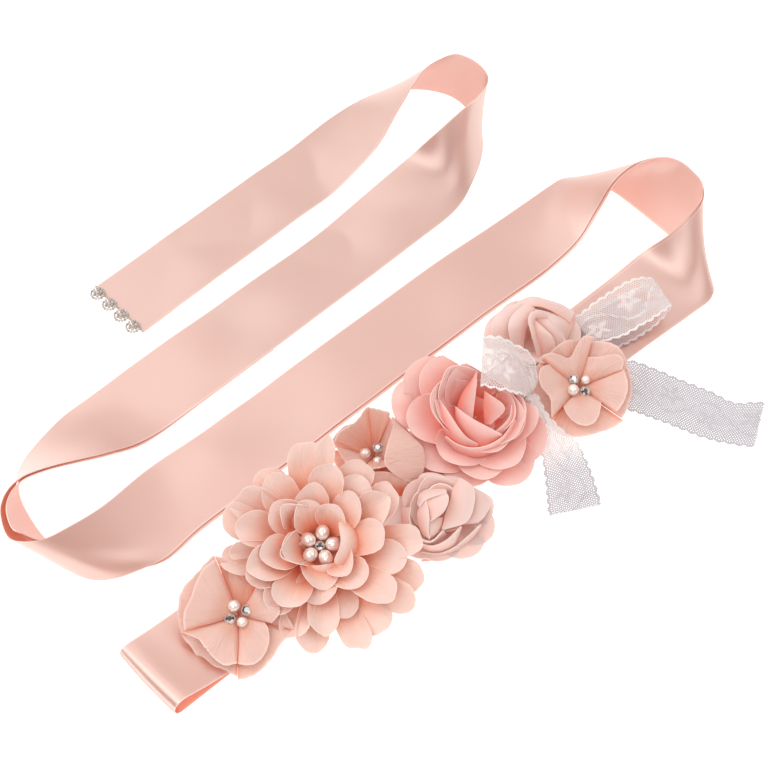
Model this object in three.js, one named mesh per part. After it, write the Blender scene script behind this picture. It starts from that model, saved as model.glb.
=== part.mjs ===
// A satin ribbon sash laid in a zig-zag, with sewn-on fabric flowers, a lace bow and a beaded end.
// Units are millimetres, +Z is up, and the sash lies on the plane z = 0.

import * as THREE from 'three';

// Driving dimensions
const RIBBON_WIDTH = 40;
const CLOTH = 1.0; // wall of every cloth piece
const SEAM_GAP = 0.3; // clear space between neighbouring pieces
const PLY_STEP = CLOTH + SEAM_GAP; // from one ribbon layer to the next
const RIBBON_TOP = PLY_STEP + CLOTH; // upper face of the doubled ribbon
const FLOWER_LEAN = THREE.MathUtils.degToRad(18); // flowers lean towards the viewer
const LEFT_TURN_SPREAD = 4.5; // how far the inner layer stands off in the left turn
const LACE_WIDTH = 27;
const SCALLOP_PITCH = 7;
const SCALLOP_DEPTH = 1.6;
const ORIGIN = new THREE.Vector3(6, 11, 0); // middle of the outline, put at x = y = 0

const SATIN = { color: 0xf3c3b6, roughness: 0.38 };
const CHIFFON = { color: 0xf6c5b4, roughness: 0.85 };
const ROSE_CLOTH = { color: 0xf2a79c, roughness: 0.8 };
const ROSETTE_CLOTH = { color: 0xf5c4b6, roughness: 0.6 };
const LACE = { color: 0xf4f0ee, roughness: 0.9 };
const PEARL = { color: 0xf7e9e2, roughness: 0.2 };
const STONE = { color: 0xd9dde2, roughness: 0.1, metalness: 0.6 };

const sash = new THREE.Group();
sash.position.copy(ORIGIN).negate();

function add(name, geometry, finish, parent = sash) {
  const mesh = new THREE.Mesh(geometry, new THREE.MeshStandardMaterial(finish));
  mesh.name = name;
  parent.add(mesh);
  return mesh;
}

// Closed wall between two equal grids of points, the outer one on the side the faces look to.
// A grid that runs round has no end edges.
function wall(inner, outer, round = false) {
  const rows = inner.length;
  const columns = inner[0].length;
  const positions = [...inner.flat(), ...outer.flat()].flatMap((point) => point.toArray());
  const low = (i, j) => (i % rows) * columns + j;
  const high = (i, j) => rows * columns + low(i, j);
  const faces = [];
  const quad = (a, b, c, d) => faces.push(a, b, c, a, c, d);
  const spans = round ? rows : rows - 1;
  for (let i = 0; i < spans; i += 1) {
    for (let j = 0; j < columns - 1; j += 1) {
      quad(high(i, j), high(i + 1, j), high(i + 1, j + 1), high(i, j + 1));
      quad(low(i, j), low(i, j + 1), low(i + 1, j + 1), low(i + 1, j));
    }
    quad(low(i, 0), low(i + 1, 0), high(i + 1, 0), high(i, 0));
    const edge = columns - 1;
    quad(low(i, edge), high(i, edge), high(i + 1, edge), low(i + 1, edge));
  }
  for (let j = 0; j < columns - 1 && !round; j += 1) {
    quad(low(0, j), high(0, j), high(0, j + 1), low(0, j + 1));
    const end = rows - 1;
    quad(low(end, j), low(end, j + 1), high(end, j + 1), high(end, j));
  }
  const geometry = new THREE.BufferGeometry();
  geometry.setAttribute('position', new THREE.Float32BufferAttribute(positions, 3));
  geometry.setIndex(faces);
  return geometry;
}

// Unit normals of a grid, along-direction crossed with across-direction.
function gridNormals(grid, round = false) {
  const rows = grid.length;
  const columns = grid[0].length;
  return grid.map((row, i) => row.map((_, j) => {
    const after = round ? (i + 1) % rows : Math.min(i + 1, rows - 1);
    const before = round ? (i + rows - 1) % rows : Math.max(i - 1, 0);
    const along = grid[after][j].clone().sub(grid[before][j]);
    const across = row[Math.min(j + 1, columns - 1)].clone().sub(row[Math.max(j - 1, 0)]);
    return along.cross(across).normalize();
  }));
}

// A grid moved out along its normals by a distance that may change from section to section.
function moved(grid, normals, distance) {
  return grid.map((row, i) => row.map((point, j) => {
    const step = typeof distance === 'function' ? distance(i) : distance;
    return point.clone().addScaledVector(normals[i][j], step);
  }));
}

// A grid kept on or above the surface that the sash lies on.
function onTable(grid) {
  return grid.map((row) => row.map((point) => point.clone().setZ(Math.max(point.z, 0))));
}

// Lines across the ribbon, from the free end to the fold. Columns: first edge x, y, z, second edge x, y, z.
// The good side of the satin is up on every straight run and outside on every turn.
const LINES = {
  tail: [
    [-148, 60, 0, -121, 31, 0],
    [-75, 132, 0, -47, 104, 0],
    [-51, 155, 0, -24, 126, 1],
  ],
  topTurn: [
    [-28, 179, 0, -3, 149, 9],
    [-13, 190, 1.5, 9, 165, 23],
    [1, 196, 3, 22, 179, 36],
    [12, 198, 1.5, 31, 184, 39],
    [24, 198, 1, 39, 186, 40.5],
    [37, 193, 1, 47, 182, 40.5],
    [46, 184, 1, 53, 176, 39.5],
    [52, 174, 0.7, 55, 169, 39],
    [55, 161, 0.5, 49, 158, 38],
    [55, 147, 0.5, 42, 152, 36],
    [51, 131, 0.5, 30, 144, 28],
    [39, 112, 0.5, 15, 139, 14],
  ],
  secondRun: [
    [19, 92, 0, -6, 124, 4],
    [-10, 64, 0, -38, 92, 0],
    [-55, 20, 1.3, -83, 49, 1.3],
    [-101, -23, 1.3, -129, 6, 1.3],
  ],
  leftTurn: [
    [-118, -39, 5, -146, -11, 1.3],
    [-130, -49, 13, -157, -22, 1.2],
    [-143, -60, 23, -166, -35, 1],
    [-156, -70, 31, -172, -47, 0.8],
    [-164, -77, 35, -174, -57, 0.7],
    [-169, -84, 36, -173, -66, 0.7],
    [-171, -93, 36, -169, -76, 0.7],
    [-168, -104, 35.5, -161, -89, 0.7],
    [-165, -108, 35.5, -150, -101, 0.7],
    [-160, -109, 35, -135, -109, 0.7],
    [-152, -106, 31, -124, -109, 0.8],
    [-143, -96, 24, -113, -105, 1],
    [-131, -79, 13, -101, -99, 1.3],
  ],
  thirdRun: [
    [-113, -53, 3.5, -86, -83, 1.3],
    [-90, -32, 1.3, -63, -62, 1.3],
    [19, 68, 1.3, 46, 38, 1.3],
    [60, 103, 1.3, 87, 74, 2],
  ],
  rightTurn: [
    [76, 117, 1.3, 101, 87, 7],
    [87, 126, 1.5, 110, 98, 17],
    [96, 131, 3, 119, 107, 29],
    [106, 132, 2.5, 130, 112, 37],
    [119, 126, 1, 141, 112, 41],
    [134, 111, 0.8, 150, 108, 41.5],
    [147, 96, 0.8, 157, 101, 41],
    [158, 83, 0.8, 161, 94, 39.5],
    [166, 70, 0.8, 160, 86, 36],
    [169, 59, 1, 154, 80, 30],
    [166, 51, 1, 145, 76, 21],
    [157, 43, 1.2, 134, 74, 11],
  ],
  flowerRun: [
    [142, 31, 1.3, 117, 63, 3.2],
    [124, 16, 1.3, 97, 46, 1.3],
  ],
};

// The flower run goes on straight from its last line to the fold, which stands open at its first edge and
// lies pressed at its second. Columns: distance, height of the cloth's inside at each edge.
const FLOWER_RUN_COURSE = THREE.MathUtils.degToRad(222);
const FOLD = [
  [120, 1.3, 1.3],
  [248, 1.3, 1.3],
  [258, 2, 1.6],
  [268, 4.8, 2.6],
  [277, 8, 3.7],
  [284, 9.4, 4.4],
  [287.2, 8.2, 4],
  [288.4, 5.2, 2.8],
  [287.2, 2.2, 1.6],
  [284, 1, 1],
  [268, 1, 1],
  [248, 1, 1],
];
const FLAT_FOLD_LINES = 2;

function foldLines() {
  const [, , , x, y] = LINES.flowerRun[1];
  const [x0, y0] = LINES.flowerRun[1];
  const across = new THREE.Vector2(x - x0, y - y0).setLength(RIBBON_WIDTH);
  return FOLD.map(([distance, firstZ, secondZ]) => {
    const px = x0 + distance * Math.cos(FLOWER_RUN_COURSE);
    const py = y0 + distance * Math.sin(FLOWER_RUN_COURSE);
    return [px, py, firstZ, px + across.x, py + across.y, secondZ];
  });
}

// The whole upper ribbon as one grid: smooth edges through the lines, straight across.
const STEPS_PER_LINE = 2;
const ACROSS = [0, 0.5, 1];
const runNames = Object.keys(LINES);
const lines = [...runNames.flatMap((name) => LINES[name]), ...foldLines()];
const firstEdge = new THREE.CatmullRomCurve3(lines.map(([x, y, z]) => new THREE.Vector3(x, y, z)));
const secondEdge = new THREE.CatmullRomCurve3(lines.map(([, , , x, y, z]) => new THREE.Vector3(x, y, z)));
const sections = (lines.length - 1) * STEPS_PER_LINE;
const ribbonInside = Array.from({ length: sections + 1 }, (_, i) => {
  const a = firstEdge.getPoint(i / sections);
  const b = secondEdge.getPoint(i / sections);
  return ACROSS.map((share) => a.clone().lerp(b, share)).reverse();
});
const ribbonNormals = gridNormals(ribbonInside);

// Section numbers where each run starts, and where the flat part of the flower run ends.
const starts = {};
runNames.reduce((line, name) => {
  starts[name] = line * STEPS_PER_LINE;
  return line + LINES[name].length;
}, 0);
const foldStart = (lines.length - FOLD.length + FLAT_FOLD_LINES - 1) * STEPS_PER_LINE;

// One stretch of ribbon, shortened at its cut ends so that it stays clear of the next one.
function ribbonStretch(name, from, to, inside, outside) {
  const trim = (grid) => {
    const part = grid.slice(from, to + 1).map((row) => row.map((point) => point.clone()));
    const pull = (row, next) => row.forEach((point, j) => {
      point.addScaledVector(next[j].clone().sub(point).normalize(), SEAM_GAP / 2);
    });
    pull(part[0], part[1]);
    pull(part.at(-1), part.at(-2));
    return part;
  };
  add(name, wall(onTable(trim(inside)), onTable(trim(outside))), SATIN);
}

const ribbonOutside = moved(ribbonInside, ribbonNormals, CLOTH);
ribbonStretch('ribbon_tail', 0, starts.topTurn, ribbonInside, ribbonOutside);
ribbonStretch('ribbon_top_turn', starts.topTurn, starts.secondRun, ribbonInside, ribbonOutside);
ribbonStretch('ribbon_second_run', starts.secondRun, starts.leftTurn, ribbonInside, ribbonOutside);
ribbonStretch('ribbon_left_turn', starts.leftTurn, starts.thirdRun, ribbonInside, ribbonOutside);
ribbonStretch('ribbon_third_run', starts.thirdRun, starts.rightTurn, ribbonInside, ribbonOutside);
ribbonStretch('ribbon_right_turn', starts.rightTurn, starts.flowerRun, ribbonInside, ribbonOutside);
ribbonStretch('ribbon_flower_run', starts.flowerRun, sections, ribbonInside, ribbonOutside);

// The second layer lies under the first, and stands further in at the left turn.
function layerDepth(section) {
  const share = (section - starts.leftTurn) / (starts.thirdRun - starts.leftTurn);
  const spread = share > 0 && share < 1 ? LEFT_TURN_SPREAD * Math.sin(Math.PI * share) ** 2 : 0;
  return -PLY_STEP - spread;
}
const underInside = moved(ribbonInside, ribbonNormals, layerDepth);
const underOutside = moved(ribbonInside, ribbonNormals, (i) => layerDepth(i) + CLOTH);
const underEnd = starts.secondRun + 2 * STEPS_PER_LINE;
ribbonStretch('under_second_run', underEnd, starts.leftTurn, underInside, underOutside);
ribbonStretch('under_left_turn', starts.leftTurn, starts.thirdRun, underInside, underOutside);
ribbonStretch('under_third_run', starts.thirdRun, starts.rightTurn, underInside, underOutside);
ribbonStretch('under_right_turn', starts.rightTurn, starts.flowerRun, underInside, underOutside);
ribbonStretch('under_flower_run', starts.flowerRun, foldStart, underInside, underOutside);

// Flowers. Each is a nest of petal rings round a flat seat, leaning towards the viewer.
// Columns of a ring: petals, seat radius, reach, slope in degrees, notch between petals, puff,
// turn in degrees.
const RINGS = {
  chiffon: [
    [5, 8.6, 24.5, 21, 0.16, 1, 36],
    [5, 7.6, 22, 31, 0.2, 3.5, 0],
  ],
  dahlia: [
    [10, 15, 44, 20.5, 0.16, 1, 0],
    [9, 14, 38, 28, 0.18, 1, 20],
    [8, 13, 31, 38, 0.18, 1, 5],
    [6, 12, 23, 50, 0.2, 0.5, 25],
    [4, 10.6, 16, 66, 0.2, 0, 40],
  ],
  rose: [
    [5, 10, 35, 20.5, 0.12, 1, 10],
    [5, 8.6, 29, 30, 0.12, 1, 46],
    [4, 7.2, 21, 44, 0.14, 0.5, 20],
    [3, 5.4, 12, 62, 0.16, 0, 60],
  ],
  rosette: [
    [5, 6, 20, 21, 0.12, 1.5, 0],
    [4, 4.6, 13.5, 40, 0.14, 1, 30],
    [3, 3, 7, 62, 0.14, 0, 0],
  ],
};

// Columns: kind, centre of the seat x, y, scale, stretch towards the viewer, turn in degrees, finish,
// how far it sinks past the ribbon's edge, and trims, where the bow presses the petals back in a
// direction in degrees at a distance.
const FLOWERS = {
  chiffon_left: ['chiffon', -65, -131, 1.1, 1.06, 54, CHIFFON, 0, []],
  dahlia: ['dahlia', -29, -98, 1, 1.12, 12, CHIFFON, 0, []],
  chiffon_middle: ['chiffon', -5, -46, 0.95, 1, 70, CHIFFON, 0, []],
  rose: ['rose', 44, -25, 1.07, 1, 0, ROSE_CLOTH, 0, [[60, 17]]],
  rosette_low: ['rosette', 27, -75, 1.05, 1, 20, ROSETTE_CLOTH, 1.3, []],
  rosette_high: ['rosette', 74, 24.5, 1.1, 1, 75, ROSETTE_CLOTH, 0, [[238, 14]]],
  chiffon_right: ['chiffon', 95, -6, 1, 1.04, 25, CHIFFON, 0, []],
};
const SEAT_HOLE = 1.5;
const PETAL_STEPS = 4; // middle, quarter, joint, quarter
const RING_STATIONS = [0.5, 1]; // shares of a petal's length
const LOBE_ROUNDNESS = 0.6; // below 1 makes petals and scallops fuller at their tips
const PUFF_CREST = 0.75; // share of a half wave that a puffed petal follows
const SHORTEST_PETAL = 2;
const LEAST_FACING = 0.05; // partings seen at a flatter angle than this do not cut a petal

const outerReach = (kind, scale) => RINGS[kind][0][2] * scale;

// Lines that part a flower from its neighbours, each as a direction and a distance from its own centre.
function partings(name) {
  const [kind, x, y, scale, , , , , trims] = FLOWERS[name];
  const own = outerReach(kind, scale);
  const fixed = trims.map(([degrees, distance]) => {
    const angle = THREE.MathUtils.degToRad(degrees);
    return { angle, distance };
  });
  const shared = Object.entries(FLOWERS).filter(([other]) => other !== name).map(([, other]) => {
    const dx = other[1] - x;
    const dy = (other[2] - y) * Math.cos(FLOWER_LEAN);
    const apart = Math.hypot(dx, dy);
    const theirs = outerReach(other[0], other[3]);
    const distance = (apart ** 2 + own ** 2 - theirs ** 2) / (2 * apart) - SEAM_GAP;
    return { angle: Math.atan2(dy, dx), distance };
  });
  return [...fixed, ...shared];
}

// One ring of petals: a flat seat, then petals that rise outwards, notched and puffed.
function petalRing(ring, level, scale, stretch, limits, turn) {
  const [petals, seat, reach, slope, notch, puff, ringTurn] = ring;
  const count = petals * PETAL_STEPS;
  const rise = Math.tan(THREE.MathUtils.degToRad(slope));
  const grid = Array.from({ length: count }, (_, i) => {
    const share = i / count;
    const angle = 2 * Math.PI * share + THREE.MathUtils.degToRad(ringTurn + turn);
    const lobe = Math.abs(Math.cos(Math.PI * petals * share));
    const drawn = 1 + (stretch - 1) * Math.abs(Math.sin(angle));
    let rim = reach * scale * drawn * (1 - notch * (1 - lobe ** LOBE_ROUNDNESS));
    limits.forEach((limit) => {
      const facing = Math.cos(angle - limit.angle);
      if (facing > LEAST_FACING) rim = Math.min(rim, limit.distance / facing);
    });
    rim = Math.max(rim, seat * scale + SHORTEST_PETAL);
    const at = (radius, height) => new THREE.Vector3(
      radius * Math.cos(angle), radius * Math.sin(angle), height);
    const base = level * PLY_STEP;
    const flat = [at(SEAT_HOLE, base), at(seat * scale, base)];
    const petal = RING_STATIONS.map((share) => {
      const radius = seat * scale + (rim - seat * scale) * share;
      const swell = puff * lobe * Math.sin(Math.PI * PUFF_CREST * share);
      const lift = (radius - seat * scale) * rise + swell;
      return at(radius, base + lift);
    });
    return [...flat, ...petal].reverse();
  });
  const normals = gridNormals(grid, true);
  return wall(grid, moved(grid, normals, CLOTH), true);
}

// A pearl is a ball, drawn out along its first axis where it is oval.
function pearl(diameter, length = diameter) {
  const ball = new THREE.SphereGeometry(diameter / 2, 8, 6);
  return ball.scale(length / diameter, 1, 1);
}

// A cut stone in its round cup.
function stone(diameter) {
  const r = diameter / 2;
  const outline = [[0, -r * 0.8], [r * 0.8, -r * 0.8], [r, 0], [r * 0.6, r * 0.5], [0, r * 0.5]];
  const lathe = new THREE.LatheGeometry(outline.map(([x, y]) => new THREE.Vector2(x, y)), 8);
  return lathe.rotateX(Math.PI / 2);
}

// Beads in the middle of a flower. Columns: what, distance from the middle, direction in degrees,
// size, length.
const BEADS = {
  chiffon_left: [
    ['pearl', 4.2, 118, 5.6],
    ['stone', 4.2, 28, 5],
    ['stone', 4.2, 208, 5],
    ['pearl', 4, 298, 5],
  ],
  dahlia: [
    ['stone', 0, 0, 4.4],
    ['pearl', 6.1, 80, 5.4, 6.8],
    ['pearl', 6.1, 152, 5.4, 6.8],
    ['pearl', 6.1, 224, 5.4, 6.8],
    ['pearl', 6.1, 296, 5.4, 6.8],
    ['pearl', 6.1, 8, 5.4, 6.8],
  ],
  chiffon_middle: [
    ['pearl', 4, 175, 5.6],
    ['stone', 4, 60, 5],
    ['pearl', 4, 300, 5],
  ],
  chiffon_right: [
    ['stone', 4.2, 130, 5],
    ['pearl', 4, 40, 4.6],
    ['pearl', 4.2, 220, 5.8],
    ['stone', 4.2, 310, 5],
  ],
};

Object.entries(FLOWERS).forEach(([name, [kind, x, y, scale, stretch, turn, finish, sink]]) => {
  const rings = RINGS[kind];
  const limits = partings(name);
  const flower = new THREE.Group();
  const seatDrop = rings[0][1] * scale * Math.sin(FLOWER_LEAN);
  flower.position.set(x, y, RIBBON_TOP + SEAM_GAP + seatDrop - sink);
  flower.rotation.x = FLOWER_LEAN;
  sash.add(flower);
  rings.forEach((ring, level) => {
    const petals = petalRing(ring, level, scale, stretch, limits, turn);
    add(`${name}_ring_${level + 1}`, petals, finish, flower);
  });
  const bed = (rings.length - 1) * PLY_STEP + CLOTH + SEAM_GAP;
  (BEADS[name] ?? []).forEach(([what, distance, degrees, size, length], index) => {
    const angle = THREE.MathUtils.degToRad(degrees);
    const bead = what === 'pearl' ? pearl(size, length) : stone(size);
    const rest = what === 'pearl' ? size / 2 : size * 0.4;
    const mesh = add(`${name}_${what}_${index + 1}`, bead, what === 'pearl' ? PEARL : STONE, flower);
    mesh.position.set(distance * Math.cos(angle), distance * Math.sin(angle), bed + rest);
    mesh.rotation.z = angle;
  });
});

// Lace pieces follow a middle line. Columns: x, y, z of the middle, width, course across in degrees.
const LACE_LINES = {
  bow_tail_right: [
    [110, -1, 2.8, 18, 65],
    [117, -3.5, 2.8, 23, 68],
    [131, -8, 0.6, 27, 72],
    [155, -15, 0, 27, 73],
    [183, -25, 0, 27, 70],
  ],
  bow_tail_down: [
    [78, -22, 2.8, 9, 10],
    [80.5, -28.5, 2.8, 10, 12],
    [83, -36, 1, 14, 14],
    [87, -52, 0, 24, 16],
    [92, -72, 0, 28, 15],
  ],
  bow_loop_right: [
    [99, 23, 2.8, 14, 125],
    [108, 29, 3, 20, 125],
    [120, 37, 3.4, 24, 124],
    [131, 44, 5.4, 25, 122],
    [138, 48.5, 8.6, 25, 122],
    [141, 50.5, 12.6, 25, 122],
    [138, 48.5, 15.8, 25, 122],
    [129, 42.5, 15.4, 24, 122],
    [115, 33.5, 11.4, 20, 124],
    [101, 24.5, 6.6, 14, 125],
  ],
  bow_loop_left: [
    [69.5, -9.5, 2.8, 12, 40],
    [63, -4, 5, 20, 40],
    [57, 1, 12, 24, 42],
    [53, 4.5, 19, 26, 42],
    [53.5, 4.5, 24, 26, 42],
    [58, 0.5, 26.5, 25, 42],
    [64, -4.5, 22, 20, 40],
    [70, -10, 14, 12, 40],
  ],
};

// Lace strip with scalloped edges on the smooth middle line.
function laceStrip(table) {
  const middle = new THREE.CatmullRomCurve3(table.map(([x, y, z]) => new THREE.Vector3(x, y, z)));
  const widths = table.map(([, , , width, course]) => new THREE.Vector3(width, course, 0));
  const shape = new THREE.CatmullRomCurve3(widths);
  const length = middle.getLength();
  const steps = Math.round((length / SCALLOP_PITCH) * 2);
  const grid = Array.from({ length: steps + 1 }, (_, i) => {
    const centre = middle.getPoint(i / steps);
    const { x: width, y: course } = shape.getPoint(i / steps);
    const half = width / 2 - (i % 2 === 0 ? SCALLOP_DEPTH * (width / LACE_WIDTH) : 0);
    const angle = THREE.MathUtils.degToRad(course);
    const across = new THREE.Vector3(Math.cos(angle), Math.sin(angle), 0);
    return [1, 0, -1].map((side) => centre.clone().addScaledVector(across, side * half));
  });
  return grid;
}

Object.entries(LACE_LINES).forEach(([name, table]) => {
  const grid = laceStrip(table);
  const normals = gridNormals(grid);
  const facing = normals[0][1].z > 0 ? CLOTH : -CLOTH;
  const outside = moved(grid, normals, facing);
  const [first, second] = [onTable(grid), onTable(outside)];
  add(name, facing > 0 ? wall(first, second) : wall(second, first), LACE);
});

// Knot of the bow, a soft ball of lace pressed flat on the ribbon.
const KNOT = { x: 73, y: -14, length: 9, width: 8, height: 4.5 };
const knot = add('bow_knot', new THREE.SphereGeometry(0.5, 12, 8), LACE);
knot.geometry.scale(KNOT.length, KNOT.width, KNOT.height);
knot.position.set(KNOT.x, KNOT.y, RIBBON_TOP + SEAM_GAP + KNOT.height / 2);

// Beaded edging sewn to the free end: a strip on the ribbon, and past it one rounded boss for each
// medallion. Columns: distance out from the ribbon's end, part that follows the scallop, underside, top,
// boss.
const MEDALLIONS = 4;
const STEPS_PER_MEDALLION = 6;
const EDGING = [
  [-2.2, 0, 1.3, 1.8, 0],
  [0.4, 0, 1.3, 1.9, 0.4],
  [3.2, 0, 0.1, 0.8, 2.2],
  [3.6, 3.8, 0, 0.6, 0],
];
function edging() {
  const [ax, ay, , bx, by] = LINES.tail[0];
  const across = new THREE.Vector3(bx - ax, by - ay, 0).normalize();
  const out = new THREE.Vector3(across.y, -across.x, 0);
  const steps = MEDALLIONS * STEPS_PER_MEDALLION;
  const sheet = (height) => Array.from({ length: steps + 1 }, (_, i) => {
    const lobe = Math.abs(Math.sin((Math.PI * i) / STEPS_PER_MEDALLION));
    const start = new THREE.Vector3(ax, ay, 0).addScaledVector(across, (RIBBON_WIDTH * i) / steps);
    return EDGING.map((column) => {
      const [distance, scallop] = column;
      const reach = distance + scallop * lobe ** LOBE_ROUNDNESS;
      return start.clone().addScaledVector(out, reach).setZ(height(column, lobe));
    }).reverse();
  });
  const underside = sheet(([, , low]) => low);
  const top = sheet(([, , , high, boss], lobe) => high + boss * lobe);
  return wall(underside, top);
}
add('end_edging', edging(), LACE);

export default sash;
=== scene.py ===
# %% [markdown]
# # A satin sash with fabric flowers
# The real object is a long coral satin ribbon, folded double and laid in a zig-zag on a white table.
# Fabric flowers, pearls, cut stones and a lace bow are sewn on near the fold, and the free end carries
# a beaded edging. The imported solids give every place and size. This script puts thin cloth on them,
# because cloth shows its quality in edges, folds and sheen that a thick wall cannot have.

# %% Tools and frame
import math
import random

import bmesh
import bpy
import numpy as np
from mathutils import Matrix, Vector, noise


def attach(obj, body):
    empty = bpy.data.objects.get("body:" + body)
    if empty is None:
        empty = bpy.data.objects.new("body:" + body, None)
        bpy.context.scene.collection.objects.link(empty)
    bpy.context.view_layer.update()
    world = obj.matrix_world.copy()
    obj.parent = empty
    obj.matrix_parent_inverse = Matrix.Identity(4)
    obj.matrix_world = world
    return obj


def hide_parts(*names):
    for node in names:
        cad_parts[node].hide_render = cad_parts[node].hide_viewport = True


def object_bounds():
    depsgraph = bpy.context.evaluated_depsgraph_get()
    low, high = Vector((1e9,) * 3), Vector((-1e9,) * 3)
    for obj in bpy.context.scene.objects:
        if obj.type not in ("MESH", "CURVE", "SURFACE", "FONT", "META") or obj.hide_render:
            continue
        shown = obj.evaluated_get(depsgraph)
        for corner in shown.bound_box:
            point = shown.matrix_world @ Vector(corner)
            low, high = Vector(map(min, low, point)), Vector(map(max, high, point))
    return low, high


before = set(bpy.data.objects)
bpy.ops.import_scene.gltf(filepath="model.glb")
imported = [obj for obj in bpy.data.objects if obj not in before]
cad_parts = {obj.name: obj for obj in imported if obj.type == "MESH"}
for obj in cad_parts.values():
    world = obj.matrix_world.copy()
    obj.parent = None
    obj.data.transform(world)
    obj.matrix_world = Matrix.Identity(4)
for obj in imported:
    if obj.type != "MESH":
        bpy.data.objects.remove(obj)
CAD_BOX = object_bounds()
MM = 0.001
ORIGIN = Vector((6, 11, 0))  # rows below are measured from the picture's middle, the part from its own
box = [round(float(x), 3) for corner in CAD_BOX for x in corner]
print("frame:", len(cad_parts), "solids, box", box)

# %% [markdown]
# ## Camera, table and light
# The picture looks down on the table at 55 degrees through a long lens, so the ribbon hardly narrows
# towards the back. An evenly white sky would make satin look like paper, because satin needs bright
# and dim parts to mirror. So the sky is bright on one side only, four wide soft boxes stand round the
# table, and the table itself is lit, which keeps the shadows faint.

# %% Camera, table and light
VIEW_ANGLE = math.radians(55)
VIEW_DISTANCE = 887 * MM
LENS = 84.375  # millimetres, on a 36 mm sensor
target = -ORIGIN * MM
view_axis = Vector((0, -math.cos(VIEW_ANGLE), math.sin(VIEW_ANGLE)))

camera_data = bpy.data.cameras.new("camera")
camera_data.lens = LENS
camera_data.sensor_width = 36
camera = bpy.data.objects.new("camera", camera_data)
camera.location = target + VIEW_DISTANCE * view_axis
camera.rotation_euler = (math.pi / 2 - VIEW_ANGLE, 0, 0)
bpy.context.scene.collection.objects.link(camera)
bpy.context.scene.camera = camera
bpy.context.scene.view_settings.view_transform = "Standard"


def linear(colour):
    """An sRGB hex colour as linear red, green, blue and alpha."""
    channels = [int(colour[i:i + 2], 16) / 255 for i in (1, 3, 5)]
    return tuple(c / 12.92 if c <= 0.04045 else ((c + 0.055) / 1.055) ** 2.4 for c in channels) + (1.0,)


def node(tree, kind, inputs=(), **settings):
    """Adds a node, sets its properties, and sets or links its inputs."""
    made = tree.nodes.new(kind)
    for key, value in settings.items():
        setattr(made, key, value)
    for key, value in dict(inputs).items():
        if isinstance(value, bpy.types.NodeSocket):
            tree.links.new(value, made.inputs[key])
        else:
            made.inputs[key].default_value = value
    return made


SKY = 1.03
SHADE = 0.44  # brightness of the sky away from its bright patch
BRIGHT_WAY = (-0.12, 0.52, 0.85)  # a flat ribbon mirrors this part of the sky
SHADE_EDGE = 0.2  # cosine of the angle to the bright way past which the sky is in full shade
BRIGHT_EDGE = 0.88
world = bpy.data.worlds.new("studio")
bpy.context.scene.world = world
world.use_nodes = True
sky = world.node_tree
way = node(sky, "ShaderNodeTexCoord")
near = node(sky, "ShaderNodeVectorMath", {0: way.outputs["Generated"], 1: BRIGHT_WAY},
            operation="DOT_PRODUCT")
fade = node(sky, "ShaderNodeMapRange", {
    "Value": near.outputs["Value"], "From Min": SHADE_EDGE, "From Max": BRIGHT_EDGE, "To Min": SHADE,
})
sky.links.new(fade.outputs["Result"], sky.nodes["Background"].inputs["Color"])
sky.nodes["Background"].inputs["Strength"].default_value = SKY

# Columns: name, place in metres, size in metres, watts.
SOFT_BOXES = [
    ("key_box", (-0.95, 0.05, 0.95), 0.9, 4.0),
    ("back_box", (-0.5, 0.6, 1.05), 0.8, 1.2),
    ("fill_box", (0.75, -0.35, 0.95), 0.7, 1.6),
    ("front_box", (-0.25, -0.9, 0.9), 0.8, 3.2),
]
for name, place, size, watts in SOFT_BOXES:
    light = bpy.data.lights.new(name, "AREA")
    light.size = size
    light.energy = watts
    lamp = bpy.data.objects.new(name, light)
    lamp.location = place
    lamp.rotation_euler = (target - Vector(place)).to_track_quat("-Z", "Y").to_euler()
    bpy.context.scene.collection.objects.link(lamp)


def new_material(name, **surface):
    """A named material, its node tree and its surface shader, with uniform values on the shader's sockets."""
    material = bpy.data.materials.new(name)
    material.use_nodes = True
    shader = material.node_tree.nodes["Principled BSDF"]
    for key, value in surface.items():
        shader.inputs[key.replace("_", " ")].default_value = value
    return material, material.node_tree, shader


def mottled(name, dark, light, drift, **surface):
    """A material whose colour drifts between two tones over a distance in millimetres."""
    material, tree, shader = new_material(name, **surface)
    where = node(tree, "ShaderNodeTexCoord")
    cloudy = node(tree, "ShaderNodeTexNoise", {"Vector": where.outputs["Object"], "Scale": 1 / (drift * MM)})
    tone = node(tree, "ShaderNodeValToRGB", {"Fac": cloudy.outputs["Fac"]})
    tone.color_ramp.elements[0].color = linear(dark)
    tone.color_ramp.elements[1].color = linear(light)
    tree.links.new(tone.outputs["Color"], shader.inputs["Base Color"])
    return material


TABLE_SIDE = 8.0
bm = bmesh.new()
bmesh.ops.create_grid(bm, x_segments=1, y_segments=1, size=TABLE_SIDE / 2)
table_mesh = bpy.data.meshes.new("table")
bm.to_mesh(table_mesh)
bm.free()
table = bpy.data.objects.new("table", table_mesh)
bpy.context.scene.collection.objects.link(table)

# White acrylic, lit softly from below as on a product table, so shadows stay faint.
lit_acrylic = mottled("white_lit_acrylic", "#fbfbfb", "#ffffff", 20, Roughness=0.9, Specular_IOR_Level=0.1,
                      Emission_Color=linear("#ffffff"), Emission_Strength=0.6)
table_mesh.materials.append(lit_acrylic)
print("camera", [round(x, 3) for x in camera.location], "and", len(SOFT_BOXES), "soft boxes")

# %% [markdown]
# ## From millimetres to a piece
# Every piece is modelled in millimetres with its place already in its points, and one function turns
# it into an object that rides on the sash. Cloth is modelled as a surface. A Solidify modifier then
# gives it the thickness of real cloth, which is far thinner than the solid's wall.

# %% Making pieces
random.seed(11)


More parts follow.
